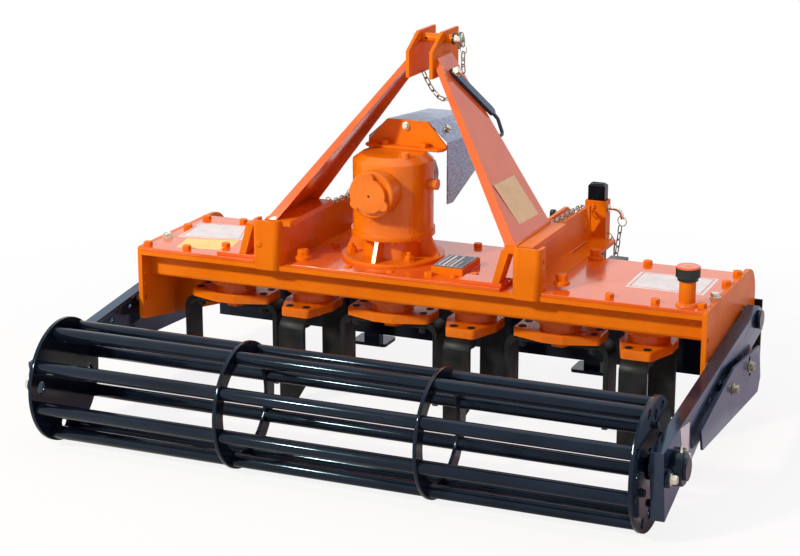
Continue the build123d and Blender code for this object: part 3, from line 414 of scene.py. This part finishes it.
trial_points, trial_faces = lathe([(1, 0), (1, 1)], steps=6)
print("a hexagonal bar has", len(trial_points), "points and", sum(map(len, trial_faces)), "faces")

# %% [markdown]
# A bolt is drawn once and stands in many places. Linked copies would do, but the export wants one mesh a
# piece, so the copies are made in numpy: one product of the points with a stack of rotations. Places are in
# millimetres from the middle of the case and the top of its cover, as a fitter would measure them.

# %% Places, copies and pieces
case_low, case_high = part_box("gear_case")
case_y = (case_low[1] + case_high[1]) / 2
cover_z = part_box("cover_plates")[1][2]


def spot(*places):
    """Places in millimetres from the middle of the case and the top of its cover, as metres in the frame."""
    return np.array(places, float).reshape(-1, 3) / 1000 + (0, case_y, cover_z)


def facing(directions, spins=0.0):
    """Rotations that turn +Z to each direction: z is the direction, x is perpendicular to it and to the axis
    it leans on least, turned about z by the spin, and y = z cross x."""
    z = np.array(directions, float).reshape(-1, 3)
    z = z / np.linalg.norm(z, axis=1, keepdims=True)
    x = np.cross(np.eye(3)[np.abs(z).argmin(1)], z)
    x = x / np.linalg.norm(x, axis=1, keepdims=True)
    y = np.cross(z, x)
    turns = np.broadcast_to(np.asarray(spins, float), len(z))[:, None]
    return np.stack([x * np.cos(turns) + y * np.sin(turns), y * np.cos(turns) - x * np.sin(turns), z], -1)


def copies(shape, places, rotations=np.eye(3)):
    """Copies of a shape: every rotation times every point, plus the place."""
    points, blocks = shape
    places = np.array(places, float).reshape(-1, 3)
    rotations = np.broadcast_to(rotations, (len(places), 3, 3))
    spread = np.einsum("kij,nj->kni", rotations, points) + places[:, None]
    offset = (np.arange(len(places)) * len(points))[:, None, None]
    return spread.reshape(-1, 3), [(block[None] + offset).reshape(-1, block.shape[1]) for block in blocks]


def joined(*shapes):
    """Several shapes as one: points stacked, faces numbered on."""
    starts = np.cumsum([0] + [len(points) for points, blocks in shapes[:-1]])
    blocks = [block + start for (points, faces), start in zip(shapes, starts) for block in faces]
    return np.concatenate([points for points, faces in shapes]), blocks


def piece_of(name, shape, material, body, smooth=35):
    """A Blender object from a shape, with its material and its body."""
    points, blocks = shape
    mesh = bpy.data.meshes.new(name)
    mesh.from_pydata(points.tolist(), [], [face for block in blocks for face in block.tolist()])
    mesh.shade_smooth()
    mesh.set_sharp_from_angle(angle=radians(smooth))
    piece = bpy.data.objects.new(name, mesh)
    bpy.context.scene.collection.objects.link(piece)
    mesh.materials.append(material)
    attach(piece, body)
    print(name, len(mesh.polygons), "faces on", body)
    return piece


print("cover at", round(cover_z, 4), "case middle at", round(case_y, 4))

# %% [markdown]
# ## Bolts, nuts and washers
# A real bolt head is a hexagon whose corners were cut by a shallow cone on the lathe, with a ring left
# standing on its top. A six-sided cylinder with a bevel would miss that cone. Here the cone is the falling
# end of a turned profile, which the hexagon's flats cut. A nut has the stud's rounded end through it.

# %% Fastener shapes
washer_height = 0.0018               # metres


def bolt_head(flats, height, washer=0.0, stud=0.0):
    """Hexagon head made in metres from millimetres: its width over flats, its height, the radius of a
    washer under it, and the height of a stud's end above it. The profile's falling radius is the cone."""
    a = flats / 2000
    h = height / 1000
    base = washer_height if washer else 0.0
    head = lathe([(a * 1.2, base), (a * 1.2, base + h * 0.74), (a * 1.12, base + h * 0.86),
                  (a * 1.02, base + h * 0.95), (a * 0.93, base + h), (a * 0.78, base + h),
                  (a * 0.76, base + h * 0.965), (a * 0.2, base + h * 0.96)], hexagon=a)
    shapes = [head]
    if washer:
        w = washer / 1000
        shapes.append(lathe([(w * 0.97, 0), (w, 0.0004), (w, 0.0014), (w * 0.97, washer_height),
                             (w * 0.5, washer_height)]))
    if stud:
        s, top = a * 0.56, base + h + stud / 1000
        shapes.append(lathe([(s, base), (s, top - s * 0.25), (s * 0.93, top - s * 0.1), (s * 0.75, top)]))
    return joined(*shapes)


def fasten(shape, *places, to=(0, 0, 1), seed=0):
    """Copies of a fastener at places in millimetres, all facing one way, each with its own spin."""
    seats = spot(*places)
    spins = np.random.default_rng(seed + len(seats)).uniform(0, pi / 3, len(seats))
    return copies(shape, seats, facing(np.broadcast_to(to, seats.shape), spins))


print("a bolt head has", len(bolt_head(18, 9)[0]), "points")

# %% [markdown]
# The cover is screwed down along its edge, and the bolts were painted with it. Two were changed later and
# are still bright. Beside the hitch beams stand taller bolts on raised pads, and nuts on studs hold the
# gearbox. Each spins by a random share of a sixth turn, because a fitter doesn't line them up.

# %% Cover bolts
cover_bolts = [(-634, -138, 0), (-538, -134, 0), (-454, -108, 8), (-628, 35, 0), (-626, 123, 0),
               (-532, 127, 0), (438, -130, 0), (535, -132, 0), (630, -125, 0), (634, 54, 0), (636, 139, 0),
               (537, 147, 0), (438, 144, 0), (39, -126, 0), (129, -96, 0), (49, 136, 0), (-245, 136, 0),
               (190, 136, 0), (190, 20, 0), (-245, 20, 0), (-430, 136, 0)]
late_bolts = [(-628, -59, 0), (636, -46, 0)]
tall_bolts = [(-264, -109, 0), (326, -104, 8), (322, 140, 0), (-382, 140, 0)]
studs = [(-180, -39, 8), (-35, -60, 8), (-180, 39, 8), (-35, 60, 8)]
rivets = [(-148, -129, 0), (-49, -130, 0), (88, -112, 0), (-100, 134, 0)]
pad_height = 7
pan_head = lathe([(0.0085, 0), (0.0085, 0.0012), (0.0075, 0.0028), (0.0045, 0.0038), (0.0015, 0.004)])
raised_pad = lathe([(0.0175, 0), (0.0175, 0.0062), (0.0165, 0.0072), (0.009, 0.0072)])
cover_fasteners = joined(
    fasten(bolt_head(18, 9), *cover_bolts, seed=1),
    fasten(raised_pad, *tall_bolts),
    fasten(bolt_head(22, 14, washer=16), *[(x, y, z + pad_height) for x, y, z in tall_bolts], seed=2),
    fasten(bolt_head(19, 11, washer=14, stud=8), *studs, seed=3),
    fasten(pan_head, *rivets))
piece_of("cover_bolts", cover_fasteners, orange, "frame")
piece_of("late_cover_bolts", fasten(bolt_head(17, 9, washer=12), *late_bolts, seed=4), zinc,
         "frame")

# %% [markdown]
# Eight bolts reach up through the flange between the gearbox's neck and its body, so their heads hang under
# it on a circle. Two more hold the foot of the guard.

# %% Gearbox bolts
gearbox_x = -97.5
flange_ring, flange_z = 80, 52.0
ring = np.radians(22.5 + 45 * np.arange(8))
flange_bolts = np.stack([gearbox_x + flange_ring * np.cos(ring), flange_ring * np.sin(ring),
                         np.full(8, flange_z)], 1)
foot_bolts = [(-135.5, 42, 237), (-41.5, 42, 237)]
gearbox_fasteners = joined(
    fasten(bolt_head(13, 7), *flange_bolts.tolist(), to=(0, 0, -1), seed=5),
    fasten(bolt_head(17, 10), *foot_bolts, seed=6))
piece_of("gearbox_bolts", gearbox_fasteners, orange, "frame")

# %% [markdown]
# ## Wires, rings and chains
# A curve object with a round bevel would make a bent pin, and an array along a curve a chain, but both have
# to be made meshes before the export. Here a bent pin is a wire along a path whose corners are cut four
# times. A chain link is a wire round two half circles joined by straights; the links sit at equal steps of a
# path, every second one turned a quarter.

# %% Wire and chain shapes
def rounded(*corners, rounds=4):
    """A path with its corners cut: each round puts two points on every run, a quarter from its ends."""
    path = np.array(corners, float)
    for _ in range(rounds):
        cut = np.stack([0.75 * path[:-1] + 0.25 * path[1:], 0.25 * path[:-1] + 0.75 * path[1:]], 1)
        path = np.concatenate([path[:1], cut.reshape(-1, 3)[1:-1], path[-1:]])
    return path


def lengths(path):
    """How far along a path each of its points lies: the sum of the steps before it."""
    return np.concatenate([[0], np.cumsum(np.linalg.norm(np.diff(path, axis=0), axis=1))])


def ring_path(radius, straight=0.0, steps=24):
    """Closed path in the x-z plane: (r sin a, 0, r cos a), each half circle moved out by half the straight."""
    a = around(steps, 0.5)
    return np.stack([radius * np.sin(a), 0 * a, radius * np.cos(a) + straight / 2 * np.sign(np.cos(a))], 1)


link = wire(ring_path(0.0046, 0.010, 16), 0.0014, sides=6, closed=True)
link_pitch = 16.4                    # millimetres from one link to the next
look_ahead = 0.006                   # metres to both sides of a link, over which its direction is taken
link_lean = 0.4                      # turn of the first link about the chain


def chain(*corners):
    """Links along a path: centres at equal steps of its length, each facing along it, turned by a quarter
    from one link to the next."""
    path = spot(*rounded(*corners))
    run = lengths(path)
    count = max(2, round(run[-1] * 1000 / link_pitch))
    middles = (np.arange(count) + 0.5) * run[-1] / count
    centre, ahead, behind = (np.stack([np.interp(middles + shift, run, path[:, k]) for k in range(3)], 1)
                             for shift in (0.0, look_ahead, -look_ahead))
    return copies(link, centre, facing(ahead - behind, np.arange(count) % 2 * pi / 2 + link_lean))


def loop(place, radius, thick, across):
    """A closed ring of round wire, its axis along one direction."""
    shape = wire(ring_path(radius / 1000) @ np.array([[1, 0, 0], [0, 0, 1], [0, 1, 0]]), thick / 2000,
                 closed=True)
    return copies(shape, spot(place), facing(across))


def bent(radius, *corners):
    """Round bar along a rounded path, in millimetres."""
    return wire(spot(*rounded(*corners)), radius / 1000, sides=14)


print("a link has", len(link[0]), "points")

# %% [markdown]
# The parking stands are held by bent pins. Each hangs on a ring and a short chain from an eye on its sleeve,
# so that it isn't lost when the stand is moved. Both sides mirror each other about the hitch's middle, so
# their places are written once, with the run outward from there.

# %% Stand pins and their chains
hitch_x = -30
stand_y = 372


def beside(side, *places):
    """Places (run, y, z), each a run outward from the hitch's middle, on the left (-1) or the right (1)."""
    return [(hitch_x + side * run, y, z) for run, y, z in places]


pins, rings, links = [], [], []
pin_washer = lathe([(0.0088, 0), (0.0093, 0.0005), (0.0093, 0.0024), (0.0088, 0.003), (0.004, 0.003)])
for side in (-1, 1):
    pins += [copies(pin_washer, spot(*beside(side, (305, stand_y, 58))), facing((side, 0, 0))),
             bent(4.6, *beside(side, (305.5, stand_y, 58), (321, stand_y, 58), (332, stand_y, 55),
                               (338, stand_y, 46), (340, stand_y, 35)))]
    ring_place, eye_place = beside(side, (339, stand_y, 30), (308, 378, -10))
    rings += [loop(ring_place, 11.5, 2.4, across=(0.3, 1, 0.1)), loop(eye_place, 7.0, 3.0, across=(0.2, 1, 0))]
    links.append(chain(*beside(side, (335, stand_y, 18), (332, stand_y, -10), (329, 371, -45),
                               (324, 371, -66), (321, 373, -40), (323, 375, -20), (315, 378, -14))))
stand_pin_pieces = piece_of("bent_stand_pins", joined(*pins), zinc, "frame")
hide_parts("stand_pins")
piece_of("stand_pin_rings", joined(*rings), zinc, "frame")
piece_of("stand_pin_chains", joined(*links), chain_zinc, "frame")

# %% [markdown]
# The stands are tubes with a plug in each top. Cutting the tubes open would change the solids, and only the
# rim shows: so it stands round the plug as a closed wire along a rounded rectangle.

# %% Stand rims
def rounded_box(half_x, half_y, power=8, steps=48):
    """Closed path x = a |cos t|^(2/p) sign(cos t), y = b |sin t|^(2/p) sign(sin t): a rectangle with round
    corners."""
    t = around(steps, 0.5)
    c, s = np.cos(t), np.sin(t)
    return np.stack([half_x * np.sign(c) * np.abs(c) ** (2 / power),
                     half_y * np.sign(s) * np.abs(s) ** (2 / power), 0 * t], 1)


rim = wire(rounded_box(0.0152, 0.0072), 0.0014, sides=10, closed=True)
for side, body in ((-1, "stand_left"), (1, "stand_right")):
    piece_of(f"{body}_rim", copies(rim, spot(*beside(side, (280, stand_y, 113)))), black, body,
             smooth=60)

# %% [markdown]
# The lower link pins carry a black grip on their handle and a chain along the beam. Their outer ends were
# painted over with the frame. The same turned shapes and chains make them.

# %% Lower link chains
lower_pin_y = 300
grip = lathe([(0.0062, 0), (0.0078, 0.001), (0.0082, 0.012), (0.0078, 0.02), (0.0055, 0.0235), (0.002, 0.0245)])
end_cap = lathe([(0.0112, 0), (0.0112, 0.0008), (0.0098, 0.0016), (0.004, 0.0019)])
grips, links, rings, ends = [], [], [], []
for side in (-1, 1):
    grips.append(copies(grip, spot(*beside(side, (198, lower_pin_y, 36)))))
    links.append(chain(*beside(side, (262, 322, 66), (262, lower_pin_y, 73), (261, 220, 76), (261, 140, 77),
                               (258, 78, 84))))
    front_place, rear_place = beside(side, (262, 326, 62), (257, 72, 88))
    rings += [loop(front_place, 8.0, 2.6, across=(1, 0.2, 0.1)), loop(rear_place, 8.0, 2.6, across=(0.3, 1, 0))]
    ends.append(copies(end_cap, spot(*beside(side, (275, lower_pin_y, 26))), facing((side, 0, 0))))
piece_of("lower_pin_grips", joined(*grips), plastic, "frame")
piece_of("lower_pin_chains", joined(*links), chain_zinc, "frame")
piece_of("lower_pin_rings", joined(*rings), zinc, "frame")
piece_of("lower_pin_ends", joined(*ends), orange, "frame")

# %% [markdown]
# At the top of the mast the pin was painted between its plates. Outside, a linch pin keeps it in: an upright
# stem with a spring ring round the pin's bright end, and a chain that hangs from it. A second chain hangs
# from the left plate to the right strut. The coat of paint is a thin sleeve, so that the pin keeps its solid.

# %% Top link pin
mast_x, top_pin_y, top_pin_z = -46, 100, 468
coat = lathe([(0.0096, -0.0228), (0.0102, -0.0224), (0.0102, 0.0224), (0.0096, 0.0228)], steps=32)
outer_coat = lathe([(0.0096, 0), (0.0101, 0.0004), (0.0101, 0.0150), (0.0096, 0.0154)], steps=32)
painted_coat = joined(copies(coat, spot((mast_x, top_pin_y, top_pin_z)), facing((1, 0, 0))),
                      copies(outer_coat, spot((-14.8, top_pin_y, top_pin_z)), facing((1, 0, 0))))
piece_of("top_pin_paint", painted_coat, orange, "frame")
dark_dot = lathe([(0.0026, 0), (0.0026, 0.0006), (0.001, 0.0007)], steps=12)
collar = lathe([(0.0100, 0), (0.0128, 0.0004), (0.0128, 0.0036), (0.0100, 0.004)])
piece_of("top_pin_dark_parts", joined(
    copies(collar, spot((1, top_pin_y, top_pin_z)), facing((1, 0, 0))),
    copies(dark_dot, spot((-58, 89.6, top_pin_z)), facing((0, -1, 0)))), plastic, "frame")
stem = lathe([(0.0022, -0.021), (0.0030, -0.019), (0.0030, 0.0095), (0.0050, 0.010), (0.0050, 0.0150),
              (0.0040, 0.0162)], steps=16)
piece_of("linch_pin", joined(
    copies(stem, spot((14, top_pin_y, top_pin_z))), loop((19, 99, 466), 14.0, 2.2, (1, 0.25, 0.1)),
    loop((25, 98, 447), 9.5, 1.8, (0.4, 1, 0))), chain_zinc, "frame")
piece_of("top_link_chains", joined(
    chain((21, 98, 480), (24, 97, 469), (25, 97, 456)),
    chain((25, 98, 440), (24, 98, 420), (26, 98, 398)),
    chain((-66, 92, 394), (-52, 86, 372), (-36, 82, 352), (-18, 80, 338), (0, 82, 340), (18, 86, 350))),
    chain_zinc, "frame")

# %% [markdown]
# ## Filler cap
# The cap is moulded with fine flutes for the fingers, and its top was sprayed with the frame. Under it is a
# collar of the same plastic, and a swelling where the tube is welded to the cover. A bump texture would show
# flutes only in its shading, so here they are in the rings of a turned shape.

# %% Filler
def fluted(profile, count=40, depth=0.0009, steps=200):
    """Turned shape with flutes: the radius loses depth (1 + cos(count a)) / 2 where the row's share is 1."""
    r, h, share = np.array(profile, float).T
    return turned(r[:, None] - share[:, None] * depth * (1 + np.cos(count * around(steps))) / 2, h)


filler_x, filler_y, filler_top = 598, -122, 52
cap_seat = spot((filler_x, filler_y, filler_top))
cap = fluted([(0.0200, 0.0, 0), (0.0212, 0.0006, 0), (0.0212, 0.0066, 0), (0.0234, 0.0074, 0),
              (0.0250, 0.0080, 0.3), (0.0250, 0.0090, 1), (0.0248, 0.0270, 1), (0.0240, 0.0290, 0.6),
              (0.0226, 0.0298, 0)])
cap_piece = piece_of("fluted_filler_cap", copies(cap, cap_seat), plastic, "frame")
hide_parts("filler_cap")
# The sprayed top takes the smoother orange, with its painted pink sheen.
sprayed = fluted([(0.0244, 0.0262, 1), (0.0251, 0.0266, 1), (0.0250, 0.0280, 0.9), (0.0243, 0.0294, 0.5),
                  (0.0228, 0.0303, 0), (0.0205, 0.0307, 0), (0.0190, 0.0303, 0), (0.0080, 0.0304, 0),
                  (0.0070, 0.0307, 0), (0.0010, 0.0307, 0)])
piece_of("filler_cap_top", copies(sprayed, cap_seat), painted_sheen_orange, "frame")
foot = lathe([(0.0235, 0), (0.0230, 0.0025), (0.0205, 0.0052), (0.0180, 0.0066), (0.0172, 0.0072)], steps=48)
piece_of("filler_foot", copies(foot, spot((filler_x, filler_y, 0))), cast_orange, "frame")

# %% [markdown]
# ## Input shaft
# The drive shaft slides on a splined end. Six keys could be cut with booleans, which leave ragged faces.
# Going round, the radius here is the full one on the keys and the root between them; the keys start behind a
# chamfer, and a groove takes the lock of the yoke.

# %% Splines
def splined(profile, keys=6, share=0.5, steps=144):
    """Turned shape with keys: a row (root, full, h) takes the full radius where the angle's place in its
    sixth is inside the key's share, and the root elsewhere, with a short slope between."""
    off = np.abs((around(steps) * keys / (2 * pi) + 0.5) % 1 - 0.5)
    key = np.clip((share / 2 - off) * 24 + 0.5, 0, 1)
    root, full, h = np.array(profile, float).T
    return turned(root[:, None] + (full - root)[:, None] * key, h)


shaft_low, shaft_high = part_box("input_shaft")
length = shaft_high[1] - shaft_low[1]
body_r = (shaft_high[0] - shaft_low[0]) / 2
full, root, groove = 0.01745, 0.0148, 0.0146
shoulder = length - 0.080            # the splined end is 80 mm long
rows = [(body_r, body_r, 0), (body_r, body_r, shoulder - 0.001), (body_r - 0.001, body_r - 0.001, shoulder),
        (full, full, shoulder), (full, full, shoulder + 0.006), (root, full, shoulder + 0.010),
        (root, full, length - 0.030), (groove, groove, length - 0.029), (groove, groove, length - 0.022),
        (root, full, length - 0.021), (root, full, length - 0.003), (root - 0.0006, root + 0.0004, length)]
rear_end = ((shaft_low[0] + shaft_high[0]) / 2, shaft_low[1], (shaft_low[2] + shaft_high[2]) / 2)
shaft_piece = piece_of("splined_input_shaft", copies(splined(rows), [rear_end], facing((0, 1, 0))), bright,
                       "input_drive", smooth=25)
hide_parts("input_shaft")
print("shaft length", round(length, 4), "body radius", round(body_r, 4))

# %% [markdown]
# ## Films and plates
# The stickers are plain: thin films with an edge line, and a blue plate on its block. Colouring the sheet's
# own faces would give them no edge. A film is the bilinear patch between four corners, raised by its
# thickness except along its border.

# %% Film shapes
def patch(corners, u, v):
    """Points P(u, v) = (1-u)(1-v) A + u (1-v) B + u v C + (1-u) v D between four corners."""
    a, b, c, d = corners
    return (1 - u) * (1 - v) * a + u * (1 - v) * b + u * v * c + (1 - u) * v * d


def film(corners, rows=9, lift=0.0005):
    """A patch over its whole range, lifted along its normal by the film's thickness; the border lies on the
    sheet, so that the film's edge is closed."""
    ends = spot(*corners)
    s = np.concatenate([[0, 0.004], np.linspace(0.02, 0.98, rows), [0.996, 1]])
    u, v = (part[..., None] for part in np.meshgrid(s, s, indexing="ij"))
    n = np.cross(ends[1] - ends[0], ends[3] - ends[0])
    raised = np.zeros((len(s), len(s), 1))
    raised[1:-1, 1:-1] = lift
    points = patch(ends, u, v) + raised * n / np.linalg.norm(n)
    return points.reshape(-1, 3), [grid_faces(len(s), len(s))[:, ::-1]]


def frame_line(corners, width, gap, lift=0.0008):
    """A thin line inside a film's edge: four narrow films along its sides, whose width and gap from the edge
    are shares of the film."""
    near, far = gap, 1 - gap
    shapes = []
    for u0, v0, u1, v1 in ((near, near, far, near + width), (near, far - width, far, far),
                           (near, near, near + width, far), (far - width, near, far, far)):
        u, v = np.array([(u0, v0), (u1, v0), (u1, v1), (u0, v1)]).T[..., None]
        shapes.append(film(patch(np.array(corners, float), u, v), rows=3, lift=lift))
    return joined(*shapes)


print("a film has", len(film([(0, 0, 0), (1, 0, 0), (1, 1, 0), (0, 1, 0)])[0]), "points")

# %% [markdown]
# Two white films and a yellow one lie on the cover, and a cream one on the right strut. One more lies on the
# right arm, which slopes, so its corners are written along the arm and square to it.

# %% Films
right_film = [(443, -40, 0), (611, -41, 0), (610, 89, 0), (441, 82, 0)]
left_film = [(-609, -46, 0), (-462, -16, 0), (-505, 103, 0), (-624, 87, 0)]
yellow_corners = [(-568, -129, 0), (-449, -108, 0), (-464, -22, 0), (-583, -52, 0)]
strut_corners = [(223, 39, 114.6), (166, 40, 194.6), (164, -78, 197.6), (221, -75, 117.6)]
piece_of("cover_films", joined(film(right_film), film(left_film)), white_film, "frame")
piece_of("film_lines", joined(frame_line(right_film, 0.012, 0.045), frame_line(left_film, 0.012, 0.04)), orange,
         "frame")
piece_of("yellow_film", film(yellow_corners), yellow_film, "frame")
piece_of("strut_film", film(strut_corners), cream_film, "frame")

arm_turn = radians(9.42)
pivot_y, pivot_z = 150, -96


def on_arm(x, along, up):
    """A place on the roller's arm: along it from the front pivot, and up square to it."""
    return (x, pivot_y + along * cos(arm_turn) - up * sin(arm_turn),
            pivot_z + along * sin(arm_turn) + up * cos(arm_turn))


arm_corners = [on_arm(682, *place) for place in ((-546, -22), (-588, -22), (-600, 52), (-536, 34))]
piece_of("arm_film", film(arm_corners[::-1]), white_film, "roller_frame")

# %% [markdown]
# The blue plate sits on a small block beside the gearbox. Its stripes are plain lines, made of the same
# films as its border.

# %% Blue plate
plate_corners = [(38, -103, 17), (104, -103, 17), (104, -5, 17), (38, -5, 17)]
piece_of("blue_plate", film(plate_corners, lift=0.0012), blue_plate, "frame")
stripe_start, stripe_z = -96, 17.4
stripes = [[(x, stripe_start, stripe_z), (x + wide, stripe_start, stripe_z), (x + wide, end, stripe_z),
            (x, end, stripe_z)]
           for x, wide, end in ((46, 3, -14), (56, 5, -14), (67, 2, -40), (74, 4, -14), (86, 2, -52))]
piece_of("blue_plate_lines", joined(frame_line(plate_corners, 0.015, 0.03, 0.0015),
                                    *[film(stripe, rows=3, lift=0.0011) for stripe in stripes]), white_film,
         "frame")

# %% [markdown]
# ## Weld beads
# Where plates meet stand rippled beads, one ripple for each dab of the welder's hand. A bump texture would
# not break the corner's outline, so a bead is a wire whose radius swells and sinks every three millimetres,
# laid along the joint and half sunk into it.

# %% Welds
ripple, bead_step = 0.0032, 0.0009   # metres


def bead(*corners, size=3.0):
    """Weld bead along a path: radius size (1 + 0.16 sin(2 pi s / ripple)), sinking to a third at both ends."""
    path = spot(*corners)
    run = lengths(path)
    s = np.linspace(0, run[-1], max(8, int(run[-1] / bead_step)))
    line = np.stack([np.interp(s, run, path[:, k]) for k in range(3)], 1)
    fade = np.clip(np.minimum(s, run[-1] - s) / (size / 1000), 0.33, 1)
    return wire(line, size / 1000 * (1 + 0.16 * np.sin(2 * pi * s / ripple)) * fade)


beads = [bead((190, -110, 8), (237, -110, 8)), bead((236.5, -112, 9), (236.5, -112, 78)),
         bead((-398, -110, 8), (-360, -110, 8)), bead((-360.5, -112, 9), (-360.5, -112, 78)),
         bead((240.5, -146, 92.5), (240.5, 66, 92.5)), bead((-333.5, -146, 92.5), (-333.5, 66, 92.5)),
         bead((-14.5, 46, 437), (-14.5, 125, 437)), bead((-77.5, 46, 437), (-77.5, 125, 437)),
         bead((246, 354, 56), (246, 354, 70), size=4), bead((236, 354, -7), (236, 354, 66)),
         bead((-306, 354, 56), (-306, 354, 70), size=4), bead((-296, 354, -7), (-296, 354, 66)),
         bead((246, 160, -7), (246, 305, -7), size=2.6), bead((-306, 160, -7), (-306, 305, -7), size=2.6),
         bead((35, -106, 0.5), (35, -2, 0.5), size=2.2), bead((107, -106, 0.5), (107, -2, 0.5), size=2.2)]
piece_of("weld_beads", joined(*beads), cast_orange, "frame", smooth=60)

# %% [markdown]
# ## Bolts on the mast, the guard and the board
# The rest for the drive shaft turns on a bright bolt. The hood is held by plated screws that follow its
# slopes, and the end plates and the levelling board by hexagon bolts. All are the head from before, each
# facing out of its own sheet.

# %% Mast, guard and board bolts
outward = np.array([80, 0, 58.5]) / np.hypot(80, 58.5)
rest_bar = 8                         # thickness of the shaft's rest
rest_bolt = np.array([13.8, 66, 398]) + outward * rest_bar
hood_screw = bolt_head(13, 7, washer=9)
end_bolt = bolt_head(17, 10, washer=12)
plated = [fasten(bolt_head(19, 9, washer=12), rest_bolt, to=outward, seed=11),
          fasten(hood_screw, (-91, 55, 279), to=(0, -1, 0), seed=12),
          fasten(hood_screw, (-18, 111, 266), to=(0.67, 0.07, 0.74), seed=13),
          fasten(hood_screw, (-159, 111, 266), to=(-0.67, 0.07, 0.74), seed=14),
          fasten(end_bolt, (-650, -143, -120), to=(-1, 0, 0), seed=15),
          fasten(end_bolt, (650, -143, -120), to=(1, 0, 0), seed=16)]
piece_of("plated_bolts", joined(*plated), zinc, "frame")
board_bolts = [(side * 343 + off, 256, z) for side in (-1, 1) for off in (-9, 9) for z in (-112, -214)]
piece_of("board_bolts", fasten(bolt_head(17, 9, washer=12), *board_bolts, to=(0, 1, 0), seed=17), black,
         "frame")
plug = lathe([(0.0075, 0), (0.0075, 0.0012), (0.0060, 0.0022), (0.0022, 0.0026)], steps=20)
piece_of("post_plug", copies(plug, spot((-343, -166, 39)), facing((0, -1, 0))), orange, "frame")
# A small dark disc in the middle of the gearbox's rear cap is the painted shade of its centre hole.
hole_shade_disc = lathe([(0.0028, 0), (0.0028, 0.0003), (0.0010, 0.0004)], steps=12)
piece_of("gearbox_cap_painted_hole_shade", copies(hole_shade_disc, spot((gearbox_x, -133, 161)), facing((0, -1, 0))), plastic,
         "frame")

# %% [markdown]
# ## Rotors
# Two bolts hold each tine. Their heads are countersunk in the holder, with a hexagon socket, and their nuts
# are under the tine. The hub's nut is locked by a washer. Every second rotor stands a quarter turn on, so its
# bolts lie across. Each set rides its own rotor, because the six turn apart.

# %% Tine bolts
rotor_pitch = 195
bolt_reach, bolt_spread = 80, 20     # from the rotor's axis along its holder, and to each side
holder_top, holder_bottom = -119.0, -139
nut_drop = 32.0                      # holder and tine together
socket_head = joined(
    lathe([(0.0088, 0.0001), (0.0088, 0.0010), (0.0080, 0.0014), (0.0046, 0.0014), (0.0044, 0.0004)]),
    lathe([(0.0058, -0.006), (0.0058, 0.0005), (0.0020, 0.0006)]))
under_nut = bolt_head(17, 9, washer=11, stud=3)
hub_washer = lathe([(0.030, 0), (0.0305, 0.0006), (0.0305, 0.0024), (0.030, 0.003), (0.016, 0.003)], steps=32)
along, over = np.array([(a * bolt_reach, b * bolt_spread) for a in (-1, 1) for b in (-1, 1)]).T
for number in range(1, 7):
    x = (number - 3.5) * rotor_pitch
    across = (along, over) if number % 2 else (over, along)
    tops = np.stack([x + across[0], across[1], np.full(4, holder_top)], 1)
    nuts = tops - (0, 0, nut_drop)
    body = f"rotor_{number}"
    piece_of(f"tine_bolts_{number}", joined(fasten(socket_head, *tops, seed=number),
                                            fasten(under_nut, *nuts, to=(0, 0, -1), seed=number)),
             forged, body)
    piece_of(f"hub_washer_{number}", copies(hub_washer, spot((x, 0, holder_bottom)), facing((0, 0, -1))), zinc,
             body)

# %% [markdown]
# ## Roller and its arms
# Each bearing has two plated bolts in its ears and a grease nipple. The side deflectors hang on bolts with
# wide washers, and small bolts hold the discs to the roller's hubs. What is on the arms lifts with them, and
# what is on the discs turns with the roller.

# %% Roller bolts
arm_reach, ear_reach, nipple_rise = 654, 44, 33
nipple = joined(lathe([(0.0035, 0), (0.0035, 0.004), (0.0028, 0.005)], hexagon=0.0035),
                lathe([(0.0022, 0.004), (0.0024, 0.008), (0.0016, 0.010), (0.0018, 0.0115), (0.0008, 0.013)],
                      steps=12))
bearing_bolts, nipples, plate_bolts = [], [], []
for side in (-1, 1):
    out = (side, 0, 0)
    ears = [on_arm(side * 692, place - arm_reach, 0) for place in (-ear_reach, ear_reach)]
    bearing_bolts.append(fasten(bolt_head(17, 10, washer=13), *ears, to=out, seed=21))
    nipples.append(copies(nipple, spot(on_arm(side * 698, -arm_reach, nipple_rise)), facing((0, 0.3, 1))))
    hangers = [on_arm(side * 695, -run, -drop) for run, drop in ((122, 50), (259, 34))]
    plate_bolts.append(fasten(bolt_head(17, 10, washer=14), *hangers, to=out, seed=22))
piece_of("bearing_bolts", joined(*bearing_bolts, *nipples), zinc, "roller_frame")
piece_of("deflector_bolts", joined(*plate_bolts), chain_zinc, "roller_frame")

roller_y, roller_z = -495.2, -203
disc_face, disc_ring = 643.0, 76
turns = np.radians(25 + 60 * np.arange(6))
ring_y, ring_z = roller_y + disc_ring * np.cos(turns), roller_z + disc_ring * np.sin(turns)
disc_bolts = [fasten(bolt_head(13, 6, washer=9), *np.stack([np.full(6, side * disc_face), ring_y, ring_z], 1),
                     to=(side, 0, 0), seed=23) for side in (-1, 1)]
piece_of("disc_bolts", joined(*disc_bolts), black, "cage_roller")
